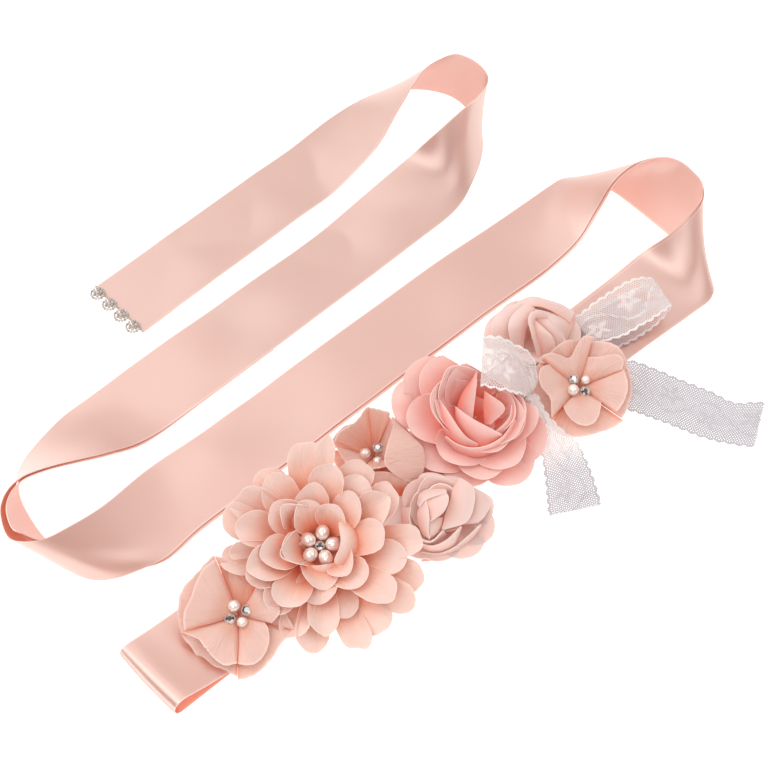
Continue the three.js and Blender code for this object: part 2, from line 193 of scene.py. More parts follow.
def piece(bm, name, materials, replaces=(), smooth=True):
    """Turns a bmesh in millimetres into an object in metres that rides on the sash."""
    for edge in bm.edges:
        edge.smooth = not edge.is_boundary
    bmesh.ops.translate(bm, verts=bm.verts, vec=-ORIGIN)
    bmesh.ops.scale(bm, verts=bm.verts, vec=(MM, MM, MM))
    mesh = bpy.data.meshes.new(name)
    bm.to_mesh(mesh)
    bm.free()
    if smooth is not None:
        mesh.polygons.foreach_set("use_smooth", [smooth] * len(mesh.polygons))
    for material in materials:
        mesh.materials.append(material)
    made = bpy.data.objects.new(name, mesh)
    bpy.context.scene.collection.objects.link(made)
    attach(made, "root")
    if replaces:
        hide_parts(*replaces)
    return made


def thicken(made, thickness, reverse_slot=0):
    """Gives a surface the thickness of cloth, below its good side."""
    wall = made.modifiers.new("thickness", "SOLIDIFY")
    wall.thickness = thickness * MM
    wall.offset = -1
    wall.material_offset = reverse_slot
    wall.use_quality_normals = True
    return made


def cloth_grid(bm, columns, rows, place, layers=()):
    """A grid of faces moved to place(along, across), both from 0 to 1. Layers are functions that give a
    point's value in a named attribute. The grid's own coordinates become its map."""
    uv = bm.loops.layers.uv.get("cloth") or bm.loops.layers.uv.new("cloth")
    kept = {key: bm.verts.layers.float.get(key) or bm.verts.layers.float.new(key) for key, _ in layers}
    verts = bmesh.ops.create_grid(bm, x_segments=columns, y_segments=rows, size=0.5)["verts"]
    shares = {v: (v.co.x + 0.5, v.co.y + 0.5) for v in verts}
    for face in {f for v in verts for f in v.link_faces}:
        for loop in face.loops:
            loop[uv].uv = shares[loop.vert]
    for v, (along, across) in shares.items():
        v.co = place(along, across)
        for key, value in layers:
            v[kept[key]] = value(along, across)
    return verts


# %% [markdown]
# ## Satin
# Satin ribbon is woven from bright polyester yarn that floats along its length, so it mirrors light in
# soft bands that run across the ribbon. One plain glossy shader would look like plastic. So a coral
# body with a little light coming through it is mixed with a mirror for the floats, whose gloss is
# stretched across the yarn by a tangent that follows the ribbon's own map. Both sides are satin. Both
# give off a painted glow where two layers lie together. It stands in for light that comes through
# the cloth, and the reverse glows more.

# %% Satin
SATIN_FACE = "#d2947f"
SATIN_DEEP = "#cc8b75"
SATIN_REVERSE = "#d8957f"
SELVEDGE = "#e2b6a7"
# The glow colour also tints a painted glow that both satins give off.
GLOW = "#ff9c7a"  # colour of light that comes through the cloth
SHEER = 0.2
FLOAT = "#fff1ea"  # colour of light that the floating yarns mirror
RIBBON_WIDTH = 40.0
SELVEDGE_WIDTH = 0.9
YARN_PITCH = 0.9  # real yarns lie 0.1 mm apart: drawn coarser so that they show
CLOUD_SIZE = (250 / 3, 25)  # the dye's faint clouds, along and across, in millimetres


def satin(name, face, deep, roughness, gloss, painted_glow):
    """Polyester satin, warp-faced: soft stretched gloss, faint yarn lines, a firm edge."""
    material, tree, shader = new_material(
        name, Roughness=roughness, Anisotropic=0.55, IOR=1.6, Sheen_Weight=0.08, Sheen_Roughness=0.35,
        Sheen_Tint=linear("#ffe9e2"), Emission_Color=linear(GLOW))
    cloth_map = node(tree, "ShaderNodeUVMap", uv_map="cloth")
    across = node(tree, "ShaderNodeSeparateXYZ", {"Vector": cloth_map.outputs["UV"]})
    per_metre = [1 / (size * MM) for size in CLOUD_SIZE]
    drift = node(tree, "ShaderNodeMapping", {"Vector": cloth_map.outputs["UV"], "Scale": (*per_metre, 1)})
    cloudy = node(tree, "ShaderNodeTexNoise", {
        "Vector": drift.outputs["Vector"], "Scale": 1.0, "Detail": 2.0,
    })
    ground = node(tree, "ShaderNodeMix", {"Factor": cloudy.outputs["Fac"]}, data_type="RGBA")
    ground.inputs[6].default_value = linear(face)
    ground.inputs[7].default_value = linear(deep)
    middle = RIBBON_WIDTH / 2 * MM
    from_middle = node(tree, "ShaderNodeMath", {0: across.outputs["Y"], 1: middle}, operation="SUBTRACT")
    distance = node(tree, "ShaderNodeMath", {0: from_middle.outputs[0]}, operation="ABSOLUTE")
    edge = node(tree, "ShaderNodeMapRange", {
        "Value": distance.outputs[0],
        "From Min": middle - SELVEDGE_WIDTH * MM,
        "From Max": middle - 0.6 * SELVEDGE_WIDTH * MM,
    })
    colour = node(tree, "ShaderNodeMix", {"Factor": edge.outputs["Result"]}, data_type="RGBA")
    tree.links.new(ground.outputs[2], colour.inputs[6])
    colour.inputs[7].default_value = linear(SELVEDGE)
    tree.links.new(colour.outputs[2], shader.inputs["Base Color"])
    yarn = node(tree, "ShaderNodeMath", {0: across.outputs["Y"], 1: 2 * math.pi / (YARN_PITCH * MM)},
                operation="MULTIPLY")
    wave = node(tree, "ShaderNodeMath", {0: yarn.outputs[0]}, operation="SINE")
    relief = node(tree, "ShaderNodeBump", {
        "Height": wave.outputs[0], "Strength": 0.05, "Distance": 0.02 * MM,
    })
    tree.links.new(relief.outputs["Normal"], shader.inputs["Normal"])
    along = node(tree, "ShaderNodeTangent", direction_type="UV_MAP", uv_map="cloth")
    tree.links.new(along.outputs["Tangent"], shader.inputs["Tangent"])
    glow = node(tree, "ShaderNodeBsdfTranslucent", {"Color": linear(GLOW)})
    # Painted glow: the cloth gives off coral light where the lit attribute is high, in place of light coming
    # through it.
    lit = node(tree, "ShaderNodeAttribute", attribute_name="lit")
    warmth = node(tree, "ShaderNodeMath", {0: lit.outputs["Fac"], 1: painted_glow}, operation="MULTIPLY")
    tree.links.new(warmth.outputs[0], shader.inputs["Emission Strength"])
    body = node(tree, "ShaderNodeMixShader", {0: SHEER, 1: shader.outputs["BSDF"], 2: glow.outputs["BSDF"]})
    mirror = node(tree, "ShaderNodeBsdfAnisotropic", {
        "Color": linear(FLOAT), "Roughness": roughness, "Anisotropy": 0.5,
        "Normal": relief.outputs["Normal"], "Tangent": along.outputs["Tangent"],
    })
    cloth = node(tree, "ShaderNodeMixShader", {
        0: gloss, 1: body.outputs["Shader"], 2: mirror.outputs["BSDF"],
    })
    tree.links.new(cloth.outputs["Shader"], tree.nodes["Material Output"].inputs["Surface"])
    return material


satin_face = satin("polyester_satin_face", SATIN_FACE, SATIN_DEEP, roughness=0.36, gloss=0.39, painted_glow=0.02)
satin_reverse = satin("polyester_satin_reverse", SATIN_REVERSE, SATIN_REVERSE, roughness=0.36, gloss=0.36,
                      painted_glow=0.36)
print("satin:", satin_face.name, "and", satin_reverse.name)

# %% [markdown]
# ## The ribbon
# The ribbon lies flat on its runs and stands on one edge at its turns. Both edges are smooth curves
# through the same cross lines that shape the solids, and the cloth is straight from edge to edge.
# A cloth simulation would have to guess the lay, while these lines give the lay of the picture.
# Soft dents and ridges are then placed one by one, because a perfectly ruled ribbon looks like plastic.

# %% Cross lines of the ribbon
# Columns: first edge x, y, z, second edge x, y, z, in millimetres from the picture's middle.
RIBBON_LINES = {
    "tail": [
        (-148, 60, 0, -121, 31, 0), (-75, 132, 0, -47, 104, 0), (-51, 155, 0, -24, 126, 1)],
    "top_turn": [
        (-28, 179, 0, -3, 149, 9), (-13, 190, 1.5, 9, 165, 23), (1, 196, 3, 22, 179, 36),
        (12, 198, 1.5, 31, 184, 39), (24, 198, 1, 39, 186, 40.5), (37, 193, 1, 47, 182, 40.5),
        (45.6, 184, 1, 52.6, 176, 39.5), (51.3, 174, 0.7, 54.5, 169, 39), (53, 161, 0.5, 49, 158, 38),
        (51.5, 146, 0.5, 42, 152, 36), (46.5, 130, 0.5, 29.5, 144, 28), (38, 112, 0.5, 15, 139, 14)],
    "second_run": [
        (19, 92, 0, -6, 124, 4), (-10, 64, 0, -38, 92, 0), (-55, 20, 1.3, -83, 49, 1.3),
        (-101, -23, 1.3, -129, 6, 1.3)],
    "left_turn": [
        (-118, -39, 5, -146, -11, 1.3), (-130, -49, 13, -157, -22, 1.2), (-143, -60, 23, -166, -35, 1),
        (-156, -70, 31, -172, -47, 0.8), (-164, -77, 35, -174, -57, 0.7), (-169, -84, 36, -173, -66, 0.7),
        (-171, -93, 36, -169, -76, 0.7), (-168, -104, 35.5, -161, -89, 0.7),
        (-165, -108, 35.5, -150, -101, 0.7), (-160, -109, 35, -135, -109, 0.7),
        (-152, -106, 31, -124, -109, 0.8), (-143, -96, 24, -113, -105, 1), (-131, -79, 13, -101, -99, 1.3)],
    "third_run": [
        (-113, -53, 3.5, -86, -83, 1.3), (-90, -32, 1.3, -63, -62, 1.3), (19, 68, 1.3, 46, 38, 1.3),
        (60, 103, 1.3, 87, 74, 2)],
    "right_turn": [
        (76, 117, 1.3, 101, 87, 7), (87, 126, 1.5, 110, 98, 17), (96, 131, 3, 119, 107, 29),
        (106, 132, 2.5, 130, 112, 37), (119, 126, 1, 141, 112, 41), (134, 111, 0.8, 150, 108, 41.5),
        (146.8, 96, 0.8, 156.7, 101, 41), (157.6, 83, 0.8, 160.5, 94, 39.5), (165, 70, 0.8, 159.5, 86, 36),
        (168, 59.3, 1, 153.5, 80, 30), (165.3, 51.3, 1, 144.7, 76, 21), (156.7, 43.2, 1.2, 133.8, 74, 11)],
    "flower_run": [(142, 31, 1.3, 117, 63, 3.2), (124, 16, 1.3, 97, 46, 1.3)],
}
# The flower run goes straight on to its fold. Columns: distance, height at the first and second edge.
FOLD_COURSE = math.radians(222)
FOLD_ROWS = [
    (120, 1.3, 1.3), (248, 1.3, 1.3), (258, 2, 1.6), (268, 4.8, 2.6), (277, 8, 3.7), (284, 9.4, 4.4),
    (287.2, 8.2, 4), (288.4, 5.2, 2.8), (287.2, 2.2, 1.6), (284, 1, 1), (268, 1, 1), (248, 1, 1)]
FLAT_FOLD_ROWS = 2

lines = [line for run in RIBBON_LINES.values() for line in run]
last = np.array(lines[-1], float)
across_end = (last[3:5] - last[:2]) / np.linalg.norm(last[3:5] - last[:2]) * RIBBON_WIDTH
for distance, first_z, second_z in FOLD_ROWS:
    spot = last[:2] + distance * np.array([math.cos(FOLD_COURSE), math.sin(FOLD_COURSE)])
    lines.append((*spot, first_z, *(spot + across_end), second_z))
lines = np.array(lines, float)
run_starts = dict(zip(RIBBON_LINES, np.cumsum([0] + [len(run) for run in RIBBON_LINES.values()])))
fold_start = len(lines) - len(FOLD_ROWS) + FLAT_FOLD_ROWS - 1
print("ribbon:", len(lines), "cross lines in", len(RIBBON_LINES), "runs")

# %% Smooth edges and distances along the ribbon


def smooth_line(rows, places):
    """Points on a smooth curve through rows of coordinates: place 2.5 lies between rows 2 and 3."""
    rows = np.array(rows, float)
    padded = np.vstack([2 * rows[0] - rows[1], rows, 2 * rows[-1] - rows[-2]])
    places = np.asarray(places, float)
    k = np.clip(np.floor(places).astype(int), 0, len(rows) - 2)
    w = (places - k)[:, None]
    p0, p1, p2, p3 = (padded[k + i] for i in range(4))
    d0, d1, d2 = (np.maximum(((b - a) ** 2).sum(1), 1e-9)[:, None] ** 0.25
                  for a, b in ((p0, p1), (p1, p2), (p2, p3)))
    t1 = ((p1 - p0) / d0 - (p2 - p0) / (d0 + d1) + (p2 - p1) / d1) * d1
    t2 = ((p2 - p1) / d1 - (p3 - p1) / (d1 + d2) + (p3 - p2) / d2) * d1
    return p1 + t1 * w + (3 * (p2 - p1) - 2 * t1 - t2) * w ** 2 + (2 * (p1 - p2) + t1 + t2) * w ** 3


fine_places = np.linspace(0, len(lines) - 1, 4000)
fine_middle = (smooth_line(lines[:, :3], fine_places) + smooth_line(lines[:, 3:], fine_places)) / 2
fine_steps = np.linalg.norm(np.diff(fine_middle, axis=0), axis=1)
fine_distance = np.concatenate([[0], np.cumsum(fine_steps)])
print("ribbon's upper layer:", round(fine_distance[-1]), "mm along its middle")

# %% Dents, ridges and the layers of the ribbon
CLOTH_STEP = 2.2  # size of a face
UPPER_FACE = 0.75  # good side above the solid's inside
UNDER_FACE = 0.05
LEFT_TURN_SPREAD = 3.6
RIBBON_THICKNESS = 0.4
SIDE_SHIFT = 1.4  # how far the lower layer shows past the upper one
SHIFT_LEAD = 1.4  # cross lines before the left turn at which it starts to show
# The next two set a painted glow that the cloth gives off where its layers lie together.
LOWER_LIT = 0.22  # share of the light that comes through the lower layer
LIT_FADE = 20  # the upper layer's light comes in over this distance
LOWER_END = 2  # the lower layer's hidden end, in cross lines from the start of the second run

# Soft dents. Columns: distance from the free end, share across, reach along, reach across, height.
DENTS = [
    (22, 0.3, 16, 0.3, -0.85), (48, 0.75, 20, 0.3, 1.02), (76, 0.35, 18, 0.35, -1.19),
    (105, 0.7, 22, 0.3, 0.85), (132, 0.4, 16, 0.4, -1.02), (150, 0.8, 14, 0.3, 0.85),
    (352, 0.3, 20, 0.4, 1.36), (384, 0.7, 16, 0.3, -1.19), (418, 0.4, 22, 0.4, 1.02),
    (452, 0.65, 18, 0.3, -1.02), (486, 0.35, 20, 0.4, 1.02), (520, 0.6, 16, 0.4, -0.85),
    (742, 0.4, 18, 0.4, 1.19), (780, 0.65, 22, 0.35, -1.02), (822, 0.3, 24, 0.4, 0.85),
    (868, 0.7, 20, 0.3, -1.02), (905, 0.4, 18, 0.4, 1.02), (940, 0.6, 16, 0.4, -1.02),
    (1440, 0.5, 9, 0.5, 1.02), (1425, 0.4, 7, 0.5, -0.85),
]


def relief(distance, share):
    """Height of the listed dents and of the faint flutter of both edges."""
    height = np.zeros(np.broadcast(distance, share).shape)
    for place, middle, along, across, rise in DENTS:
        height += rise * np.exp(-((distance - place) / along) ** 2 - ((share - middle) / across) ** 2)
    edge = np.abs(2 * share - 1) ** 6
    flutter = np.sin(distance / 9.5 + 3 * np.sin(distance / 41)) * np.sin(distance / 67 + 5 * share)
    return height + 0.25 * edge * flutter


def ribbon_grid(start, end, face, layer=0):
    """Points of a stretch of ribbon from one cross line to another, with its distances along."""
    begin, finish = np.interp([start, end], fine_places, fine_distance)
    rows = max(4, round((finish - begin) / CLOTH_STEP))
    distance = np.linspace(begin, finish, rows + 1)
    places = np.interp(distance, fine_distance, fine_places)
    first, second = smooth_line(lines[:, :3], places), smooth_line(lines[:, 3:], places)
    share = np.linspace(0, 1, round(RIBBON_WIDTH / CLOTH_STEP) + 1)
    turn_start, turn_end = run_starts["left_turn"], run_starts["third_run"]
    turned = np.clip((places - turn_start) / (turn_end - turn_start), 0, 1)
    lower_side = np.interp(places, [turn_start - SHIFT_LEAD, turn_start, turn_end], [0, -1, 1])
    slide = layer * SIDE_SHIFT / RIBBON_WIDTH * lower_side
    grid = first[:, None] + (second - first)[:, None] * (share[None, :] + slide[:, None])[..., None]
    normal = np.cross(np.gradient(grid, axis=0), -np.gradient(grid, axis=1))
    normal /= np.linalg.norm(normal, axis=2, keepdims=True)
    spread = layer * LEFT_TURN_SPREAD * np.sin(math.pi * turned ** 1.7) ** 2
    lift = face - spread[:, None] + relief(distance[:, None], share[None, :])
    grid = grid + normal * lift[..., None]
    grid[..., 2] = np.maximum(grid[..., 2], RIBBON_THICKNESS + 0.2)
    return grid, distance


def ribbon_piece(name, start, end, nodes, layer):
    """One layer of the ribbon as thin satin on its solids. Returns its length."""
    grid, distance = ribbon_grid(start, end, UNDER_FACE if layer else UPPER_FACE, layer)
    rows, columns = grid.shape[0] - 1, grid.shape[1] - 1
    # Painted glow: the cloth gives off light where two layers lie or stand together, as if it came through.
    doubled = LOWER_LIT if layer else np.clip((distance - lower_distance) / LIT_FADE, 0, 1)
    lit = np.broadcast_to(doubled, distance.shape)
    bm = bmesh.new()
    cloth_grid(bm, rows, columns, lambda s, t: Vector(grid[round(s * rows), columns - round(t * columns)]),
               [("lit", lambda s, t: lit[round(s * rows)])])
    uv = bm.loops.layers.uv["cloth"]
    length = distance[-1] - distance[0]
    for face in bm.faces:
        for loop in face.loops:
            s, t = loop[uv].uv
            loop[uv].uv = ((distance[0] + s * length) * MM, t * RIBBON_WIDTH * MM)
    sides = [satin_reverse] if layer else [satin_face, satin_reverse]
    made = thicken(piece(bm, name, sides, nodes), RIBBON_THICKNESS, len(sides) - 1)
    return length


LOWER_RUNS = ["second_run", "left_turn", "third_run", "right_turn", "flower_run"]
lower_start = run_starts["second_run"] + LOWER_END
lower_distance = float(np.interp(lower_start, fine_places, fine_distance))
upper_nodes = [f"ribbon_{run}" for run in run_starts]
lower_nodes = [f"under_{run}" for run in LOWER_RUNS]
upper_length = ribbon_piece("satin_upper_layer", 0, len(lines) - 1, upper_nodes, 0)
lower_length = ribbon_piece("satin_lower_layer", lower_start, fold_start, lower_nodes, 1)
print("satin: upper layer", round(upper_length), "mm, lower layer", round(lower_length), "mm")

# %% [markdown]
# ## Petals
# Every flower is cut from thin cloth, petal by petal, and sewn in rings. A petal is a small sheet: its
# middle line leaves the flower at one slope and ends at another, its width can bend round the flower,
# and a cup, a twist and a ripple of its own keep petals from looking alike. Each petal keeps two
# numbers in its points, how far out it is and how near its rim, and the cloth takes painted light and
# shade from them: a deep painted shade at the base, where light goes through many layers, and a pale
# painted light on the thin rim.

# %% Petal
LEAN = math.radians(18)
PLY_STEP = 1.3
PETAL_FLOOR = 2.55  # petals rest on the ribbon
SHORTEST_CUT = 10.2
PETAL_GRID = (18, 16)  # faces along and across
BLUNT = 0.9  # how round a petal's end is
WAIST = 0.35  # width at the seat, as a share of the whole
# Columns: x, y and z of a flower's seat, in millimetres.
SEATS = {
    "chiffon_left": (-65, -131, 5.5), "dahlia": (-29, -98, 7.2), "chiffon_middle": (-5, -46, 5.1),
    "rose": (44, -25, 5.9), "rosette_low": (27, -75, 3.2), "rosette_high": (74, 24.5, 4.6),
    "chiffon_right": (95, -6, 5.3),
}


def stand(name, ring):
    """The matrix that puts a ring of a leaning flower on its seat."""
    level = Matrix.Translation((0, 0, (ring - 1) * PLY_STEP))
    return Matrix.Translation(SEATS[name]) @ Matrix.Rotation(LEAN, 4, "X") @ level


def ease(share):
    """A smooth step from 0 to 1."""
    share = min(1.0, max(0.0, share))
    return share * share * (3 - 2 * share)


# Petals meet a neighbour on some sides. Columns: direction in degrees, distance, push back, push up.
PRESSED = {
    "rose": [(60, 16, 0.9, -0.2)],
    "rosette_high": [(238, 15, 0.9, 0.45)],
    "rosette_low": [(71, 12, 0.4, -0.5)],
    "chiffon_left": [(47, 12, 0.3, -0.5)],
    "chiffon_middle": [(23, 14, 0.3, -0.5), (245, 14, 0.3, -0.4)],
}


def pressed(flower, out, side, up):
    """A petal's point, pushed aside where it meets a neighbour."""
    for direction, distance, back, lift in PRESSED.get(flower, []):
        way = Vector((math.cos(math.radians(direction)), math.sin(math.radians(direction))))
        excess = max(0.0, Vector((out, side)).dot(way) - distance)
        out, side, up = out - back * excess * way.x, side - back * excess * way.y, up + lift * excess
    return Vector((out, side, up))


def petal(bm, flower, ring, row, cup, ripple, wild):
    """One petal. The row gives direction, seat, reach along the cloth, width, slope at the seat and at
    the rim, how far the width bends round the flower, and how pointed it is. Wild sets how far chance may
    twist, sweep and fold it."""
    direction, seat, reach, width, rise, curl, wrap, *point = row
    point = point[0] if point else 0
    rise, curl, direction = math.radians(rise), math.radians(curl), math.radians(direction)
    swing = curl - rise if curl != rise else 1e-6
    length = reach - seat
    tip = min(0.6, BLUNT * width / 2 / length)
    phase = random.uniform(0, 2 * math.pi)
    drift = Vector((random.uniform(0, 90), random.uniform(0, 90), 0))
    twist, sweep = wild * random.uniform(-2.4, 2.4), wild * random.uniform(-3.5, 3.5)
    fold, crease = wild * max(0, random.uniform(-2, 4)), random.uniform(-0.4, 0.4)
    matrix = stand(flower, ring)
    floor = PETAL_FLOOR + 0.3 * ring + random.uniform(0, 0.3)

    def shares(along, across):
        t = 2 * across - 1
        round_end = tip * (1 - math.sqrt(1 - 0.985 * t * t))
        ragged = 0.05 * wild * noise.noise(drift + Vector((1.1 * t, 5, 0)))
        return (1 - (1 - along) ** 1.4) * (1 + ragged - (1 - point) * round_end - point * 0.55 * abs(t)), t

    def place(along, across):
        s, t = shares(along, across)
        slope = rise + swing * s
        out = seat + length / swing * (math.sin(slope) - math.sin(rise))
        up = length / swing * (math.cos(rise) - math.cos(slope))
        crumple = noise.noise(drift + Vector((s * length / 11, t * width / 16, 0)))
        trough = fold * (math.hypot(t - crease, 0.12) - 0.12)
        waves = ripple * (s * math.sin(3.2 * t + phase) + 1.6 * crumple)
        lift = s * (cup * t * t + twist * t + trough + waves)
        out -= lift * math.sin(slope)
        up += lift * math.cos(slope)
        side = t * width / 2 * (WAIST + (1 - WAIST) * ease(s / 0.7)) + sweep * s * s
        if wrap:
            bow = max(out, 3) / wrap
            out, side = out - bow + bow * math.cos(side / bow), bow * math.sin(side / bow)
        east = out * math.cos(direction) - side * math.sin(direction)
        north = out * math.sin(direction) + side * math.cos(direction)
        spot = matrix @ pressed(flower, east, north, up)
        spot.z = max(spot.z, floor)
        return spot

    # These numbers carry the painted shade at the base and the painted light on the rim.
    layers = [
        ("depth", lambda along, across: shares(along, across)[0]),
        ("rim", lambda along, across: max(along, abs(2 * across - 1) * min(1, 3 * along))),
    ]
    cloth_grid(bm, *PETAL_GRID, place, layers)


# %% [markdown]
# ## Cloth of the petals
# Petal cloth is thin, so it is coloured by the light inside it as much as by its dye. A picture of cloth
# would not follow the petals. So the shader paints that light and shade as tones from the petals' own
# numbers, gives the cloth a faint painted glow, adds fine creases along each petal and lets some light
# wander below the surface.

# %% Cloth of the petals
MEAN_PETAL = (40, 16.5)  # length and width that the map of a petal covers, in millimetres
# Length and spacing of creases. Real ones are about 0.3 mm apart: drawn coarser so that they show.
CREASE = (10, 0.75)


def petal_cloth(name, deep, middle, pale, rim, heart, roughness, weave):
    """Thin woven cloth: painted shade out to the share heart, painted light on the rim, a fine crepe weave.
    """
    # The deep colour also glows faintly: a painted glow that lifts the shade to coral.
    material, tree, shader = new_material(
        name, Roughness=roughness, Specular_IOR_Level=0.25, Sheen_Weight=0.2, Sheen_Roughness=0.5,
        Emission_Color=linear(deep), Emission_Strength=0.05, Subsurface_Weight=0.3,
        Subsurface_Radius=(1.0, 0.85, 0.8), Subsurface_Scale=1 * MM)
    cloth_map = node(tree, "ShaderNodeUVMap", uv_map="cloth")
    creases = [whole / size for whole, size in zip(MEAN_PETAL, CREASE)]
    crepe = node(tree, "ShaderNodeMapping", {"Vector": cloth_map.outputs["UV"], "Scale": (*creases, 1)})
    grain = node(tree, "ShaderNodeTexNoise", {"Vector": crepe.outputs["Vector"], "Scale": 1.0, "Detail": 3.0})
    # The ramp paints shade: deep at a petal's base, where petals lie over one another, and pale further out.
    depth = node(tree, "ShaderNodeAttribute", attribute_name="depth")
    streaks = node(tree, "ShaderNodeMath", {0: grain.outputs["Fac"], 1: 0.6 * weave, 2: depth.outputs["Fac"]},
                   operation="MULTIPLY_ADD")
    ramp = node(tree, "ShaderNodeValToRGB", {"Fac": streaks.outputs[0]})
    ramp.color_ramp.elements[0].position = heart
    ramp.color_ramp.elements[0].color = linear(deep)
    ramp.color_ramp.elements[1].position = 0.95
    ramp.color_ramp.elements[1].color = linear(pale)
    ramp.color_ramp.elements.new((1 + heart) / 2).color = linear(middle)
    # The rim colour is painted light along the thin edge.
    edge = node(tree, "ShaderNodeAttribute", attribute_name="rim")
    near = node(tree, "ShaderNodeMapRange", {"Value": edge.outputs["Fac"], "From Min": 0.95, "From Max": 1.0})
    colour = node(tree, "ShaderNodeMix", {"Factor": near.outputs["Result"]}, data_type="RGBA")
    tree.links.new(ramp.outputs["Color"], colour.inputs[6])
    colour.inputs[7].default_value = linear(rim)
    tree.links.new(colour.outputs[2], shader.inputs["Base Color"])
    bump = node(tree, "ShaderNodeBump", {
        "Height": grain.outputs["Fac"], "Strength": weave, "Distance": 1.2 * MM,
    })
    tree.links.new(bump.outputs["Normal"], shader.inputs["Normal"])
    return material


# Chiffon of the big flower: thin and dull, so that light goes through it.
chiffon = petal_cloth("polyester_chiffon", "#ea7f60", "#eab29d", "#eacbc0", "#f4dacf",
                      heart=0.4, roughness=0.8, weave=0.3)
# Crinkled chiffon of the small flowers: the same cloth, heat-set into fine creases.
crepe = petal_cloth("crinkled_chiffon", "#e67b5d", "#e4a893", "#e4beb2", "#f1d6cb",
                    heart=0.42, roughness=0.85, weave=0.5)
# Chiffon of the rose: closer woven and smoother, so that its colour is fuller.
rose_cloth = petal_cloth("rose_chiffon", "#ea7b68", "#ecaaa0", "#eec5bd", "#f6d8cf",
                         heart=0.28, roughness=0.75, weave=0.12)
# Folded satin of the rosettes: smooth, with a soft gloss.
rosette_satin = petal_cloth("folded_satin", "#e8a692", "#e7c4ba", "#e7ccc4", "#f2dcd5",
                            heart=0.08, roughness=0.42, weave=0.05)
print("petal cloths:", ", ".join(cloth.name for cloth in (chiffon, crepe, rose_cloth, rosette_satin)))


def ring_piece(bm, flower, ring, material, thickness):
    """A ring of petals as one piece of thin cloth on its solid."""
    cloth_area = sum(face.calc_area() for face in bm.faces)
    name = f"{flower}_petals_{ring}"
    made = thicken(piece(bm, name, [material], [f"{flower}_ring_{ring}"]), thickness)
    return made


def tabled_flower(flower, rings, material, thickness, cup, ripple, wild):
    """A flower from rows of petals, ring by ring."""
    for ring, rows in enumerate(rings, 1):
        bm = bmesh.new()
        for row in rows:
            own_cup = cup * random.uniform(0.2, 1.2)
            own_ripple = ripple * random.uniform(0.5, 1.4)
            petal(bm, flower, ring, row, own_cup, own_ripple, wild)
        for row in FLAPS.get(flower, {}).get(ring, []):
            flap(bm, flower, *row)
        strip = max([SHORTEST_CUT] + [row[2] - row[1] for row in rows])
        flat = (sum(face.calc_area() for face in bm.faces) / strip, strip)
        ring_piece(bm, flower, ring, material, thickness)


# %% [markdown]
# ## Flaps laid one by one
# The hearts of the rose and the rosettes, and the folded front of the middle chiffon flower, are closed
# by broad flaps. More rings of petals would look too even there. So each flap is laid one by one: a sheet
# from a base line to a rim line, with a soft bulge.

# %% Flap
FLAP_ROWS = 10
FLAP_COLUMNS = 20


def flap(bm, flower, bulge, base, rim, deep=0.3):
    """A flap laid between a base line and a rim line, in the flower's own millimetres."""
    low, high = (smooth_line(rows, np.linspace(0, len(rows) - 1, FLAP_COLUMNS + 1)) for rows in (base, rim))
    matrix = stand(flower, 1)

    def place(along, across):
        number = round(across * FLAP_COLUMNS)
        spot = low[number] + (high[number] - low[number]) * along
        rise = bulge * math.sin(math.pi * along) * math.sin(math.pi * min(max(across, 0.04), 0.96))
        return matrix @ Vector((spot[0], spot[1], spot[2] + rise))

    # Painted shade at the base line fades out towards the rim, where the rim's painted light begins.
    layers = [
        ("depth", lambda along, across: deep + (1 - deep) * along),
        ("rim", lambda along, across: along),
    ]
    cloth_grid(bm, FLAP_ROWS, FLAP_COLUMNS, place, layers)
